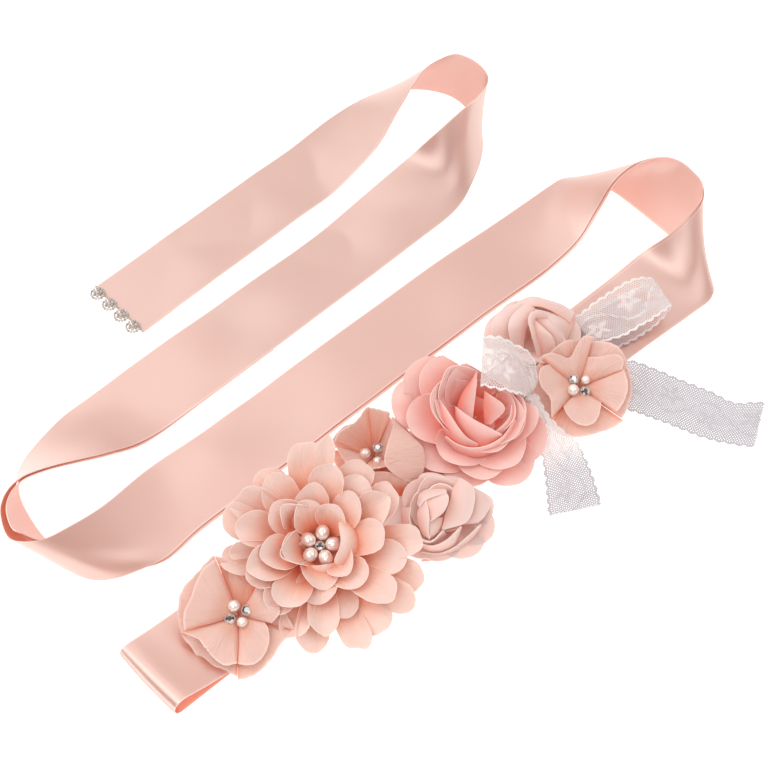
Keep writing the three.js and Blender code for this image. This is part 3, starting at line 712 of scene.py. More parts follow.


# %% Flaps of four flowers
# A flap is a bulge, its base line, its rim line and, for some, the depth of its painted shade at the base
# line.
# A point is right, up and out of the flower, in millimetres.
FLAPS = {
    "rose": {
        4: [
            (0.8, [(-9.6, 0.9, 14), (-7.2, 7.3, 18), (-2.9, 13.2, 21), (-0.1, 17.9, 22.5)],
             [(-2.2, -4.9, 15), (-1.1, 3.6, 18.5), (-0.2, 10.8, 21.5), (0, 18.1, 22.5)]),
            (0.6, [(3.6, -6.4, 14), (3, 1, 18), (3.4, 8, 21)],
             [(6.7, -6.7, 15), (13.1, 0.1, 19.5), (3.5, 8.1, 21)]),
            (1.0, [(-17.7, 4, 19.5), (-17.5, -3.2, 17), (-15, -10.9, 15.5), (-8.9, -17.1, 15),
                   (-0.3, -18.8, 17)],
             [(-17.7, 4, 20.5), (-13.7, -2.3, 21.5), (-8.9, -10.1, 21.7), (-5.4, -14.4, 21.2),
              (0.2, -17.5, 19.5)]),
            (1.2, [(-10.2, 0.2, 20), (-9.8, -5.8, 18), (-6.3, -13, 16.5), (1.5, -18.4, 16),
                   (11.3, -13.3, 20.5)],
             [(-10.2, 0.3, 21), (-6.7, -2.9, 22.5), (-2, -6.5, 23.5), (3.6, -9.7, 23.5),
              (11.3, -13.2, 21.5)]),
            (0.8, [(17.5, 1, 18), (17.5, -4.4, 16.5), (14.3, -10.6, 16), (6.7, -16.9, 16)],
             [(16.3, 1.8, 19.5), (15, -4.8, 20.7), (10.5, -9.9, 20.7), (4.9, -14, 19.7)]),
            (1.0, [(-15.4, -13.1, 14), (-8.5, -19.3, 12), (-0.3, -21.7, 12), (8, -19.6, 12),
                   (14.6, -14.6, 13), (18.9, -6.7, 15)],
             [(-15, -13.2, 18.5), (-8.9, -18, 20), (-2, -19.6, 20.8), (4.9, -18.1, 20.8),
              (11.8, -13.7, 20.3), (17.5, -5.2, 19)]),
        ],
    },
    "rosette_low": {
        2: [
            (1.2, [(8.2, 13.8, 8), (4.8, 7.8, 10.5), (3.8, 2.9, 11.5), (1.6, -3.3, 12), (-0.4, -11.1, 12)],
             [(8.7, 13.9, 8), (14.4, 8.6, 9.5), (14.2, -0.2, 11), (10.9, -7.5, 11.5), (0.1, -11.3, 12)]),
            (0.8, [(-10.2, -17.9, 8), (-5.8, -20, 7), (-0.1, -20, 6.5), (4.8, -17.5, 7), (8.5, -9.5, 9)],
             [(-10.3, -17, 11), (-5.4, -18.6, 11.8), (-0.1, -17, 11.8), (4.3, -13.5, 11.6),
              (8.2, -9.2, 11)]),
            (0.8, [(-9.8, -25.3, 3.5), (-1.9, -23.7, 3.2), (6, -20.4, 3.2), (12.3, -15.5, 3.6),
                   (17.8, -7.7, 5.5)],
             [(-9.8, -20.4, 7), (-1.9, -21.2, 7.6), (5.1, -18.6, 8), (11.3, -13.5, 8), (17.5, -7.6, 7.5)]),
            (1.0, [(12.6, 11.3, 5), (13.7, 4.4, 6.5), (12.2, -2.7, 7.2), (8.2, -8.1, 7.5)],
             [(20.1, 7.8, 3), (22.1, 2.1, 4.2), (19.4, -3.8, 6.2), (16.4, -7.2, 7)]),
        ],
        3: [
            (0.8, [(-17.5, -0.5, 9), (-18.7, -5.1, 7.5), (-17.2, -10.5, 6.8), (-12, -15.5, 6.6),
                   (-5.4, -17, 7), (1.8, -12.5, 9)],
             [(-14.4, -1, 12.8), (-15, -6.1, 13.8), (-13.3, -11.4, 13.8), (-9.8, -15.5, 13.8),
              (-5.6, -16.8, 13.8), (0, -11.6, 13)]),
            (0.5, [(0, -5.5, 12.5), (-0.7, -9.4, 12.5), (-2.9, -13.4, 12.5), (-5.6, -15.5, 12.5)],
             [(-5.9, -7.2, 14.5), (-6.2, -10.1, 15), (-6.2, -12.8, 14.6), (-5.8, -15.5, 13.4)]),
            (1.0, [(-7.6, 2.3, 14.8), (-7.2, -0.4, 15.5), (-6.4, -5.3, 15.6), (-5.8, -8.2, 15)],
             [(1.6, 5.7, 15), (2.7, 2.1, 16.4), (0.6, -3.8, 17.4), (-5.8, -8.6, 16)]),
            (0.8, [(-9.6, 1.2, 12.5), (-11.4, -4.6, 13.5), (-10.6, -9.7, 13.5), (-8.8, -13.6, 13.2),
                   (-5.8, -15.8, 12.8)],
             [(-7.5, 1.8, 16), (-6.4, -3.5, 17.2), (-6.2, -8.1, 17.2), (-6.5, -12.4, 16.2),
              (-5.9, -15.7, 14)]),
            (0.6, [(-11.9, 1.4, 10), (-10.6, 6.3, 9.5), (-5.8, 8.9, 9.5), (1.8, 8.7, 10)],
             [(-10.9, -1.3, 15), (-8.9, 1.2, 16.4), (-4.5, 3.3, 17), (1.8, 5.4, 16.4)]),
        ],
    },
    "rosette_high": {
        2: [
            (1.0, [(-18.2, -7, 4), (-18.7, 1.3, 8.5), (-17.5, 5.7, 8.5), (-13.7, 9.5, 7.5),
                   (-8.3, 13.8, 6)],
             [(-23.3, -5.5, 2.5), (-24, 1.3, 4.2), (-21.5, 6.2, 4.2), (-16.6, 12.2, 4.2), (-9.6, 15.5, 5)]),
            (1.2, [(-6, 12.5, 8.5), (-2.3, 12.7, 10), (2.3, 12.9, 10.5), (7.5, 11.3, 10.5),
                   (12.7, 8.6, 9.5), (17.9, 5.6, 7)],
             [(-7.8, 16.6, 4.5), (-3.9, 19.3, 4.2), (0.3, 20.4, 4), (7, 18.8, 4), (14.8, 16.1, 4),
              (20.7, 12, 4)]),
            (1.6, [(-10.4, -8.2, 6), (-10.6, 0.4, 11.5), (-10.1, 4.7, 11.8), (-7.8, 8.8, 10.6),
                   (-4.3, 13.7, 8)],
             [(-20.2, -7.5, 5.5), (-21, 1.1, 11), (-19.3, 6.4, 11), (-14.4, 12.1, 9.5), (-6.5, 15.8, 7.5)]),
            (1.8, [(22, 10.1, 3), (20, 5.1, 5), (17.9, 0.2, 7), (14.8, -7.9, 5)],
             [(0.3, 11.4, 12), (4.9, 7.9, 14.5), (9.1, 2.8, 14.5), (11.7, -8, 9)]),
        ],
        3: [
            (1.6, [(-5.7, -10.4, 6), (-4.7, -0.4, 12.5), (-3.1, 3.6, 13.5), (-1.6, 7.6, 12.8),
                   (0.5, 12.1, 10.5)],
             [(-9.9, -10.4, 8), (-13, -0.6, 14.8), (-12.3, 4.1, 14.8), (-9.3, 8.9, 13.4), (-4.1, 14, 10)]),
            (1.4, [(5.4, -12.2, 5), (5.4, -2.4, 12), (2.9, 2.1, 13), (0.8, 5.5, 13.5)],
             [(16.3, -11.7, 5), (14.3, -1.6, 11), (10.9, 2.6, 13.2), (6.5, 6.7, 14.8)]),
            (1.0, [(3.9, -12.7, 6.5), (0.3, -2.2, 14.8), (-0.5, 1.9, 15.4), (-0.3, 4.4, 15.4)],
             [(11.2, -13, 7.5), (8.7, -4.6, 15.4), (4.5, 0.1, 16), (0.1, 4.4, 15.8)]),
            (0.7, [(4.1, -13, 7.5), (-0.2, -2, 15.8), (-0.9, 1.9, 16.4), (0.1, 4.9, 16.2),
                   (2.6, 5.7, 15.2), (6.7, 5.5, 13.6)],
             [(1.6, -13.2, 8), (-2.4, -2.2, 17.4), (-3.5, 3.1, 18), (-2.1, 7.1, 17.6), (1.7, 8.9, 16.6),
              (7, 8.3, 14.6)]),
        ],
    },
    "chiffon_middle": {
        2: [
            (1.4, [(12.1, 14.0, 7), (18.8, 7.7, 7.5), (23.2, 3.2, 7), (24.3, -3.0, 6), (23.0, -9.8, 5),
                   (18.6, -14.0, 4)],
             [(10.1, 14.2, 11), (7.6, 6.0, 13), (5.5, -1.5, 13.5), (5.3, -6.6, 12.5), (9.7, -11.1, 11),
              (17.8, -14.5, 7)], 0.8),
            (0.8, [(-7.1, -13.5, 3), (-3.0, -18.8, 2.5), (3.3, -21.7, 2), (9.5, -21.7, 2),
                   (14.7, -19.2, 2.5), (18.4, -16.8, 3)],
             [(-8.1, -11.0, 7), (-4.0, -10.1, 9), (1.2, -9.6, 10), (7.4, -9.9, 10), (13.6, -12.2, 9),
              (18.4, -16.8, 6)], 0.1),
            (0.6, [(-7.1, -22.6, 1), (-4.0, -23.7, 1), (-0.9, -24.3, 1), (2.2, -24.3, 1), (5.3, -23.7, 1)],
             [(-6.6, -18.1, 5.5), (-3.5, -15.9, 6.5), (-0.7, -17.7, 6), (1.7, -20.6, 5),
              (5.3, -22.3, 4)], 0.6),
        ],
    },
}

print("flaps:", sum(len(rows) for rings in FLAPS.values() for rows in rings.values()))

# %% [markdown]
# ## The big chiffon dahlia
# Five rings of spatula petals round a cluster of pearls. The outer rings lie low and wide, and the
# inner ones stand up and close in on the pearls. Directions and lengths come petal by petal from the
# picture, since an even ring would look like a machine's work.

# %% Dahlia
# Columns: direction, seat, reach, width, slope at the seat, slope at the rim, bend of the width.
DISC = [(direction, 0.5, 12.5, 12, 8, 34, 0) for direction in range(0, 360, 60)]  # closes a flower's middle
DAHLIA = [
    [(194, 8, 48, 15, 30, 14, 0.2), (182, 8, 45, 7, 34, 20, 0), (167, 8, 49, 16, 28, 12, 0.2),
     (146, 8, 47, 17, 30, 14, 0.2), (126, 8, 46, 16, 24, 14, 0.2), (103, 8, 51, 17, 28, 18, 0.2),
     (90, 8, 53, 9, 34, 24, 0), (66, 8, 46, 16, 26, 14, 0.2), (33, 8, 45, 16, 26, 12, 0.2),
     (5, 8, 49, 16, 28, 12, 0.2), (-18, 8, 52, 15, 24, 10, 0.2), (-37, 8, 53, 14, 26, 8, 0.2),
     (-53, 8, 51, 15, 24, 10, 0.2), (-71, 8, 53, 14, 28, 8, 0.2), (-93, 8, 52, 15, 26, 10, 0.2),
     (-108, 8, 48, 14, 30, 10, 0.2), (-127, 8, 43, 15, 36, 22, 0.2), (-150, 8, 42, 15, 38, 26, 0.2)],
    [(164, 7.5, 43, 17, 40, 16, 0.3), (133, 7.5, 42, 18, 36, 18, 0.3), (86, 7.5, 41, 16, 40, 20, 0.3),
     (60, 7.5, 40, 16, 36, 18, 0.3), (29, 7.5, 41, 17, 40, 16, 0.3), (-13, 7.5, 43, 17, 36, 14, 0.3),
     (-40, 7.5, 46, 16, 40, 12, 0.3), (-66, 7.5, 39, 15, 34, 14, 0.3), (-86, 7.5, 45, 14, 38, 12, 0.3),
     (-120, 7.5, 41, 17, 46, 26, 0.3), (-158, 7.5, 41, 17, 44, 26, 0.3)],
    [(140, 7, 34, 17, 54, 28, 0.4), (104, 7, 33, 16, 50, 30, 0.4), (48, 7, 33, 16, 54, 26, 0.4),
     (4, 7, 36, 16, 50, 22, 0.4), (-46, 7, 33, 17, 52, 18, 0.4), (-98, 7, 32, 19, 50, 14, 0.4),
     (-164, 7, 34, 17, 54, 28, 0.4)],
    [(118, 6.5, 29, 15, 66, 44, 0.5), (58, 6.5, 27, 16, 64, 46, 0.7), (-36, 6.5, 26, 16, 64, 30, 0.7),
     (-168, 6.5, 27, 16, 68, 52, 0.7), (-92, 6.5, 26, 18, 60, 18, 0.6)] + DISC,
    [(132, 13, 33, 15, 68, 62, 0.6), (192, 11.5, 29, 22, 80, 62, 1),
     (6, 17.5, 37, 25, 72, 168, 1), (-82, 12.5, 22, 16, 62, 165, 0.9)],
]
tabled_flower("dahlia", DAHLIA, chiffon, thickness=0.25, cup=2.6, ripple=1.0, wild=1.0)

# %% [markdown]
# ## The rose
# Broad soft petals lie flat outside. Further in they stand up as cups round one another, so that only
# their thin pale rims show. The six flaps of the heart are laid one by one, because it is not round.

# %% Rose
ROSE = [
    [(170, 8, 43, 28, 26, 8, 0.4), (143, 8, 41, 32, 26, 8, 0.4), (100, 8, 40, 30, 26, 10, 0.4),
     (66, 8, 36, 28, 26, 10, 0.4), (18, 8, 33, 26, 26, 8, 0.4), (-28, 8, 38, 30, 26, 8, 0.4),
     (-58, 8, 41, 28, 26, 8, 0.4), (-100, 8, 38, 28, 28, 10, 0.4), (-136, 8, 38, 34, 28, 12, 0.5)],
    [(187, 7, 37, 26, 38, 16, 0.6), (246, 7, 32, 30, 42, 18, 0.7), (-56, 7, 35, 30, 40, 18, 0.7),
     (-84, 7, 36, 26, 36, 14, 0.6), (-6, 7, 33, 28, 40, 18, 0.7), (132, 7, 37, 30, 38, 20, 0.6),
     (74, 7, 34, 28, 38, 20, 0.6)],
    [(165, 7, 30, 36, 64, 46, 1), (252, 7, 27, 32, 58, 32, 1), (-24, 7, 31, 36, 58, 36, 1),
     (108, 7, 32, 32, 60, 46, 1), (46, 7, 28, 30, 60, 44, 1), (-66, 7, 29, 30, 56, 32, 1)],
    [(168, 14, 36, 36, 74, 62, 1), (128, 12, 35, 30, 72, 58, 0.9), (-14, 15, 34, 36, 72, 56, 1),
     (-8, 11, 29, 30, 74, 60, 1), (52, 11, 25, 28, 72, 60, 0.9)] + DISC,
]
tabled_flower("rose", ROSE, rose_cloth, thickness=0.3, cup=1.2, ripple=0.8, wild=0.3)

# %% [markdown]
# ## Two satin rosettes
# A rosette is a strip of satin rolled round a bud and sewn at its foot, so its petals are bands that
# wrap one another with soft folded edges. A spiral would give them all one width, so most bands are
# flaps laid one by one, and rings of petals close the flower below them.

# %% Rosettes
ROSETTE_LOW = [
    [(8, 9, 25, 24, 26, 4, 0.6), (-28, 9, 27, 22, 24, 2, 0.5), (-58, 9, 28, 24, 24, 2, 0.6),
     (-98, 9, 27, 24, 24, 4, 0.6), (60, 8, 23, 20, 34, 16, 0.6), (100, 8, 22, 20, 34, 14, 0.5),
     (150, 8, 21, 20, 34, 14, 0.6), (205, 8, 21, 22, 36, 18, 0.6), (238, 9, 28, 22, 22, 4, 0.5)],
    [(185, 8, 18, 30, 60, 36, 1), (100, 8, 20, 26, 62, 24, 1), (60, 8, 19, 22, 58, 24, 1)] + DISC,
    [(95, 5, 16, 22, 72, 52, 1)],
]
ROSETTE_HIGH = [
    [(172, 6, 25, 28, 34, -20, 0.9), (130, 6, 22, 30, 34, -20, 0.9), (88, 6, 21, 30, 34, -22, 0.9),
     (44, 6, 22.5, 30, 34, -20, 0.9), (4, 6, 25, 28, 34, -16, 0.9), (215, 6, 24, 24, 40, 0, 0.9),
     (-60, 6, 24, 26, 40, 0, 0.9), (-105, 6, 24, 26, 40, 0, 0.9)],
    [(245, 7, 22, 24, 66, 10, 1), (-50, 7, 23, 26, 70, 10, 1)] + DISC,
    [],
]
for flower, rings, cup in (("rosette_low", ROSETTE_LOW, 1.0), ("rosette_high", ROSETTE_HIGH, 0.6)):
    tabled_flower(flower, rings, rosette_satin, thickness=0.6, cup=cup, ripple=0.35,
                  wild=0.15)

# %% [markdown]
# ## Three small chiffon flowers
# These have five pairs of leaves, sewn together along straight seams, so every leaf puffs up between
# two grooves. The lower leaf is larger and its corners stand out as points at the ends of the seams.
# A petal of the big flowers has no seams, so these leaves have a function of their own.

# %% Small chiffon flowers
# A row is a leaf: direction of its first seam, slope, puff, tone of its painted shade from deep to pale,
# and its reach at even steps from this seam to the next. A flower's first list has its lower leaves, its
# second the upper ones.
CHIFFON = {
    "chiffon_left": [
        [(58, 16, 0.8, 0.8, 24, 24, 24, 25, 28), (113, 16, 0.8, 1, 28.5, 26, 27, 26.5, 26),
         (200, 12, 0.8, 0.9, 26, 25, 25.5, 25.5, 25, 28), (271, 12, 0.8, 0.95, 29.5, 27.5, 25, 23, 26),
         (344, 14, 0.8, 1, 26, 22, 21.5, 22, 23)],
        [(58, 15, -1.5, 0.62, 19, 20, 20, 20, 24), (113, 26, 2.8, 1, 25, 24, 22, 21, 23, 24),
         (200, 20, 2, 1, 25, 20.4, 20.6, 22, 23.5, 22), (271, 18, 2.2, 1, 22, 23.8, 22.5, 19.5, 16, 12),
         (344, 22, 2.2, 1, 15, 19, 19, 19.2, 18)]],
    "chiffon_middle": [
        [(64, 24, 0.8, 0.9, 19, 19, 20), (98, 24, 0.5, 0.9, 20.5, 17.5, 18, 19.5, 20.5),
         (172, 14, 0.5, 0.7, 21, 19, 18, 19, 20), (238, 6, 0.3, 0.62, 19, 18, 18, 18, 19, 21),
         (330, 16, 0.8, 1, 22, 22, 23, 23, 21)],
        [(64, 44, -0.5, 0.75, 18, 18, 19), (98, 46, -1.5, 0.75, 19, 16, 15, 15.5, 17, 18),
         (172, 34, 1.5, 1, 18, 15, 14, 15, 14), (238, 48, 0.5, 0.8, 10, 8.5, 8.5, 8.5, 9, 10),
         (330, 26, 1, 1, 12, 15, 16, 16, 16, 18)]],
    "chiffon_right": [
        [(18, 14, 0.8, 1, 25, 26, 26, 25, 23), (73, 20, -0.5, 0.8, 23, 22, 22, 21.5, 21, 22),
         (147, 12, 0.8, 0.85, 22, 23, 23, 22.5, 23, 25), (232, 12, 0.8, 0.85, 25, 27, 26.5, 25.5, 26, 27),
         (319, 14, 0.8, 1, 26, 25, 25, 25)],
        [(18, 22, 1.6, 1, 21, 23.5, 21, 17, 15, 14), (73, 26, 1.2, 1, 23, 22.5, 18, 14, 14, 17, 20, 22),
         (147, 24, 2, 1, 17, 20, 20, 18.5, 16.5, 18, 23), (232, 20, 2.2, 1, 13, 17, 20, 21.5, 20, 16, 13),
         (319, 20, 2.2, 1, 22, 22.5, 22.5, 22)]],
}
LEAF_ROWS = 16
LEAF_COLUMNS = 24
CHIFFON_THICKNESS = 0.25
FLAP_ALLOWANCE = 7  # flaps need a wider square of cloth


def leaf(bm, flower, ring, row, second):
    """A leaf from its own seam to a second one, with sides that dip into the seams."""
    first, slope, puff, tone, *reaches = row
    middle, half = math.radians((first + second) / 2), math.radians((second - first) / 2)
    phase = random.uniform(0, 2 * math.pi)
    drift = Vector((random.uniform(0, 90), random.uniform(0, 90), 0))
    marks = [(5 * number, reach) for number, reach in enumerate(reaches)]
    outline = smooth_line(marks, np.linspace(0, len(reaches) - 1, LEAF_COLUMNS + 1))[:, 1]
    matrix = stand(flower, ring)
    floor = PETAL_FLOOR + 0.3 * ring + random.uniform(0, 0.3)

    def place(along, across):
        t = 2 * across - 1
        edge = abs(t)
        frayed = 0.35 * noise.noise(drift + Vector((9 * t, 0, 0)))
        out = 0.3 + along * (outline[round(across * LEAF_COLUMNS)] + frayed)
        angle = middle + half * t * 0.995
        swell = puff * (1 - edge ** 2.2) * math.sin(math.pi * (0.12 + 0.8 * along)) - 0.8 * edge ** 8
        crease = noise.noise(drift + Vector((out / 10, 1.6 * t, 0)))
        ripple = 0.8 * along * along * (math.sin(4.2 * t + phase) + 2 * crease) * (1 - edge ** 6)
        up = out * math.tan(math.radians(slope)) * (0.7 + 0.3 * along) + swell + ripple
        spot = matrix @ pressed(flower, out * math.cos(angle), out * math.sin(angle), up)
        spot.z = max(spot.z, floor)
        return spot

    # Painted shade: deeper toward the middle and in the seams' grooves, and set overall by the leaf's tone.
    layers = [
        ("depth", lambda along, across: tone * (0.45 + 0.55 * along * (1 - 0.9 * abs(2 * across - 1) ** 12))),
        ("rim", lambda along, across: along),
    ]
    cloth_grid(bm, LEAF_ROWS, LEAF_COLUMNS, place, layers)


for flower, rings in CHIFFON.items():
    for ring, rows in enumerate(rings, 1):
        bm = bmesh.new()
        second_seams = [row[0] for row in rows[1:]] + [rows[0][0] + 360]
        for row, second in zip(rows, second_seams):
            leaf(bm, flower, ring, row, second)
        flaps = FLAPS.get(flower, {}).get(ring, [])
        for row in flaps:
            flap(bm, flower, *row)
        square = 2 * max(max(row[4:]) for row in rows) + (FLAP_ALLOWANCE if flaps else 0)
        ring_piece(bm, flower, ring, crepe, CHIFFON_THICKNESS)

# %% [markdown]
# ## Pearls and cut stones
# A pearl is a ball with a soft lustre, oval in the big flower. A cut stone is a cone of flat facets
# under a flat table in a silver cup with four claws. Facets sparkle because each one mirrors another
# part of the room. A white room has little to mirror, so each facet carries a painted reflection, a
# brightness of its own.

# %% Pearls and stones
# Plastic pearl: a cream body under a clear lacquer, which dried in drifts of 1.5 mm.
pearl_lacquer = mottled("pearl_lacquer", "#f3e2d8", "#fdf3ec", 1.5, Roughness=0.07, Metallic=0.45,
                        Coat_Weight=0.8, Coat_Roughness=0.04)

# Glass stone, silvered behind: each facet has its own brightness, a painted reflection.
foiled_glass, tree, shader = new_material("foiled_glass", Roughness=0.06, Metallic=0.7)
painted_reflection = node(tree, "ShaderNodeAttribute", attribute_name="painted_reflection")
facet = node(tree, "ShaderNodeValToRGB", {"Fac": painted_reflection.outputs["Fac"]})
facet.color_ramp.elements[0].color = linear("#4a4644")
facet.color_ramp.elements[1].color = linear("#ffffff")
tree.links.new(facet.outputs["Color"], shader.inputs["Base Color"])

# Plated brass cup, pressed from thin sheet: the plate is uneven over 0.5 mm.
silver_plate = mottled("silver_plate", "#aaa39d", "#d6d0ca", 0.5, Roughness=0.28, Metallic=0.9)

# Columns: what, distance from the middle, direction in degrees, size, length.
BEADS = {
    "chiffon_left": [("pearl", 4.2, 118, 5.6, 5.6), ("stone", 4.2, 28, 5, 5), ("stone", 4.2, 208, 5, 5),
                     ("pearl", 4, 298, 5, 5)],
    "dahlia": [("stone", 0, 0, 4.4, 4.4), ("pearl", 6.3, 80, 6.6, 7.6), ("pearl", 6.1, 152, 6.6, 7.6),
               ("pearl", 6.1, 224, 6.6, 7.6), ("pearl", 6.1, 296, 6.6, 7.6), ("pearl", 6.1, 8, 6.6, 7.6)],
    "chiffon_middle": [("pearl", 4, 175, 5.6, 5.6), ("stone", 4, 60, 5, 5), ("pearl", 4, 300, 5, 5)],
    "chiffon_right": [("stone", 4.2, 130, 5, 5), ("pearl", 4, 40, 4.6, 4.6), ("pearl", 4.2, 220, 5.8, 5.8),
                      ("stone", 4.2, 310, 5, 5)],
}


def stone(bm, matrix, size):
    """A cut stone in its cup with four claws."""
    painted_reflection = bm.faces.layers.float.get("painted_reflection") or bm.faces.layers.float.new("painted_reflection")
    r = size / 2
    crown_place = matrix @ Matrix.Translation((0, 0, r * 0.26))
    crown = bmesh.ops.create_cone(bm, cap_ends=True, segments=8, radius1=r * 0.86, radius2=r * 0.45,
                                  depth=r * 0.42, matrix=crown_place)["verts"]
    for face in dict.fromkeys(f for v in crown for f in v.link_faces):  # in a fixed order
        face[painted_reflection] = random.choice((0.05, 0.45, 0.8, 1.0, 1.0))
        face.material_index = 0
        face.smooth = False
    cup_place = matrix @ Matrix.Translation((0, 0, -r * 0.38))
    cup = bmesh.ops.create_cone(bm, cap_ends=True, segments=20, radius1=r * 0.7, radius2=r * 0.98,
                                depth=r * 0.85, matrix=cup_place)["verts"]
    claws = []
    for turn in range(4):
        quarter = Matrix.Rotation(math.pi * (0.5 * turn + 0.25), 4, "Z")
        spot = matrix @ quarter @ Matrix.Translation((r * 0.82, 0, r * 0.2))
        claws += bmesh.ops.create_uvsphere(bm, u_segments=8, v_segments=6, radius=r * 0.17,
                                           matrix=spot)["verts"]
    for face in {f for v in cup + claws for f in v.link_faces}:
        face[painted_reflection] = 1.0
        face.material_index = 1


for flower, rows in BEADS.items():
    level = 5 if flower == "dahlia" else 2
    bed = stand(flower, level) @ Matrix.Translation((0, 0, 1.3))
    for number, (what, distance, direction, size, length) in enumerate(rows, 1):
        turn = Matrix.Rotation(math.radians(direction), 4, "Z")
        bm = bmesh.new()
        if what == "pearl":
            oval = Matrix.Diagonal((length / size, 1, 1, 1))
            spot = bed @ turn @ Matrix.Translation((distance, 0, size / 2)) @ oval
            bmesh.ops.create_uvsphere(bm, u_segments=28, v_segments=18, radius=size / 2, matrix=spot)
            piece(bm, f"{flower}_bead_{number}", [pearl_lacquer], [f"{flower}_pearl_{number}"])
        else:
            spot = bed @ turn @ Matrix.Translation((distance, 0, size * (0.4 if distance else 0.8)))
            stone(bm, spot, size)
            piece(bm, f"{flower}_bead_{number}", [foiled_glass, silver_plate],
                  [f"{flower}_stone_{number}"], smooth=None)
print("beads:", sum(len(rows) for rows in BEADS.values()))

# %% [markdown]
# ## The lace bow
# Lace is a net of fine thread with denser flowers worked into it and a scalloped cord along both edges.
# A picture of lace on a sheet would stay flat at the edges and need an image, so the net is real here:
# a flat comb of hexagons is opened one by one, with smaller holes in the flowers and none along the
# edges, and laid on the smooth course of each band. Bands are bunched where the bow is tied, and there
# the net closes up.

# %% Lace
NET_PITCH = 1.3  # real net has holes of about 0.8 mm: drawn coarser to keep the mesh small
CELL_RADIUS = NET_PITCH / math.sqrt(3)
THREAD = {"tail": 0.4, "loop": 0.2}  # half the thread's width
WORKED_THREAD = {"tail": 0.49, "loop": 0.4}  # the same in the flowers
LACE_THICKNESS = 0.2
EDGE_WIDTH = 1.5  # the closed cord along both edges
SCALLOP_PITCH = 4.8
SCALLOP_DEPTH = 1.3
MOTIF_PITCH = 21.0
MOTIF_OFFSET = 3.5  # flowers lie by turns to the left and right of the middle
HEART_RADIUS = 1.4
FLOWER_RADIUS = 4.6
FLOWER_WAVE = 2.0  # its five petals stand out this far
VINE_SWING = 8
VINE_HALF = 0.7

# Columns: x, y, z of the middle, width, course across in degrees.
LACE_LINES = {
    "bow_tail_right": [
        (110, -1, 3.2, 26, 80), (120.5, -2.6, 3, 31, 83), (133.4, -6.9, 1.2, 30, 77),
        (144.1, -11.9, 0.7, 29, 73), (156.9, -18.4, 0.7, 28.5, 71), (167.9, -23.7, 1.2, 26, 71),
        (175.5, -24.2, 1, 27.5, 72), (182.6, -24.4, 0.7, 29.5, 72.5)],
    "bow_tail_down": [
        (71.5, -14.6, 13, 5, 5), (75, -26.2, 12, 8, 5), (78.9, -34, 10, 13, 8),
        (83.6, -40.8, 6, 19.5, 18), (86.6, -50.2, 2.2, 22.7, 18.5), (88.3, -60.3, 0.8, 25.4, 18),
        (89.8, -73.3, 0.7, 27.2, 13.5)],
    "bow_loop_right": [
        (97, 22, 3.2, 18, 120), (108, 29, 3.4, 25, 119), (120, 36.5, 3.8, 27, 118),
        (130, 42.5, 5.8, 26, 116), (137, 46, 9, 22, 115), (140, 47, 12.5, 18, 115),
        (136.5, 45, 15.8, 23, 115), (127, 39.5, 15.8, 27, 116), (113, 32, 12, 26, 119),
        (99, 26, 7.5, 20, 121)],
    "bow_loop_left": [
        (70.5, -10, 3.2, 12, 40), (66, -5, 7, 20, 60), (59.5, -3, 18, 26, 75),
        (52, -5, 27, 29, 82), (46.5, -8, 31, 30, 86), (51, -10.5, 33.5, 31, 88),
        (59.5, -11.5, 32, 31, 88), (67.5, -12, 26, 26, 80), (72, -14, 15, 11, 60)],
}
CRUMPLE = {"bow_tail_right": 0.5, "bow_tail_down": 0.5, "bow_loop_right": 0.8, "bow_loop_left": 1.8}

# Cotton thread, off-white and dull. Its colour holds painted shade: lace low on the bright table is darker
# than lace that stands up in the light.
cotton_thread, tree, shader = new_material("cotton_thread", Roughness=0.85, Sheen_Weight=0.15)
where = node(tree, "ShaderNodeTexCoord")
height = node(tree, "ShaderNodeSeparateXYZ", {"Vector": where.outputs["Object"]})
raised = node(tree, "ShaderNodeMapRange", {
    "Value": height.outputs["Z"], "From Min": 2 * MM, "From Max": 6 * MM,
})
shade = node(tree, "ShaderNodeValToRGB", {"Fac": raised.outputs["Result"]})
shade.color_ramp.elements[0].color = linear("#c6c0c4")
shade.color_ramp.elements[1].color = linear("#f1e6e3")
tree.links.new(shade.outputs["Color"], shader.inputs["Base Color"])


def is_worked(along, across):
    """True where the net is thick with stitches: on flowers and on the vine between them."""
    number = math.floor(along / MOTIF_PITCH)
    east = along - (number + 0.5) * MOTIF_PITCH
    north = across - (MOTIF_OFFSET if number % 2 else -MOTIF_OFFSET)
    radius, angle = math.hypot(east, north), math.atan2(north, east)
    if HEART_RADIUS < radius < FLOWER_RADIUS + FLOWER_WAVE * math.cos(5 * angle):
        return True
    return abs(across - VINE_SWING * math.sin(2 * math.pi * along / (2 * MOTIF_PITCH))) < VINE_HALF


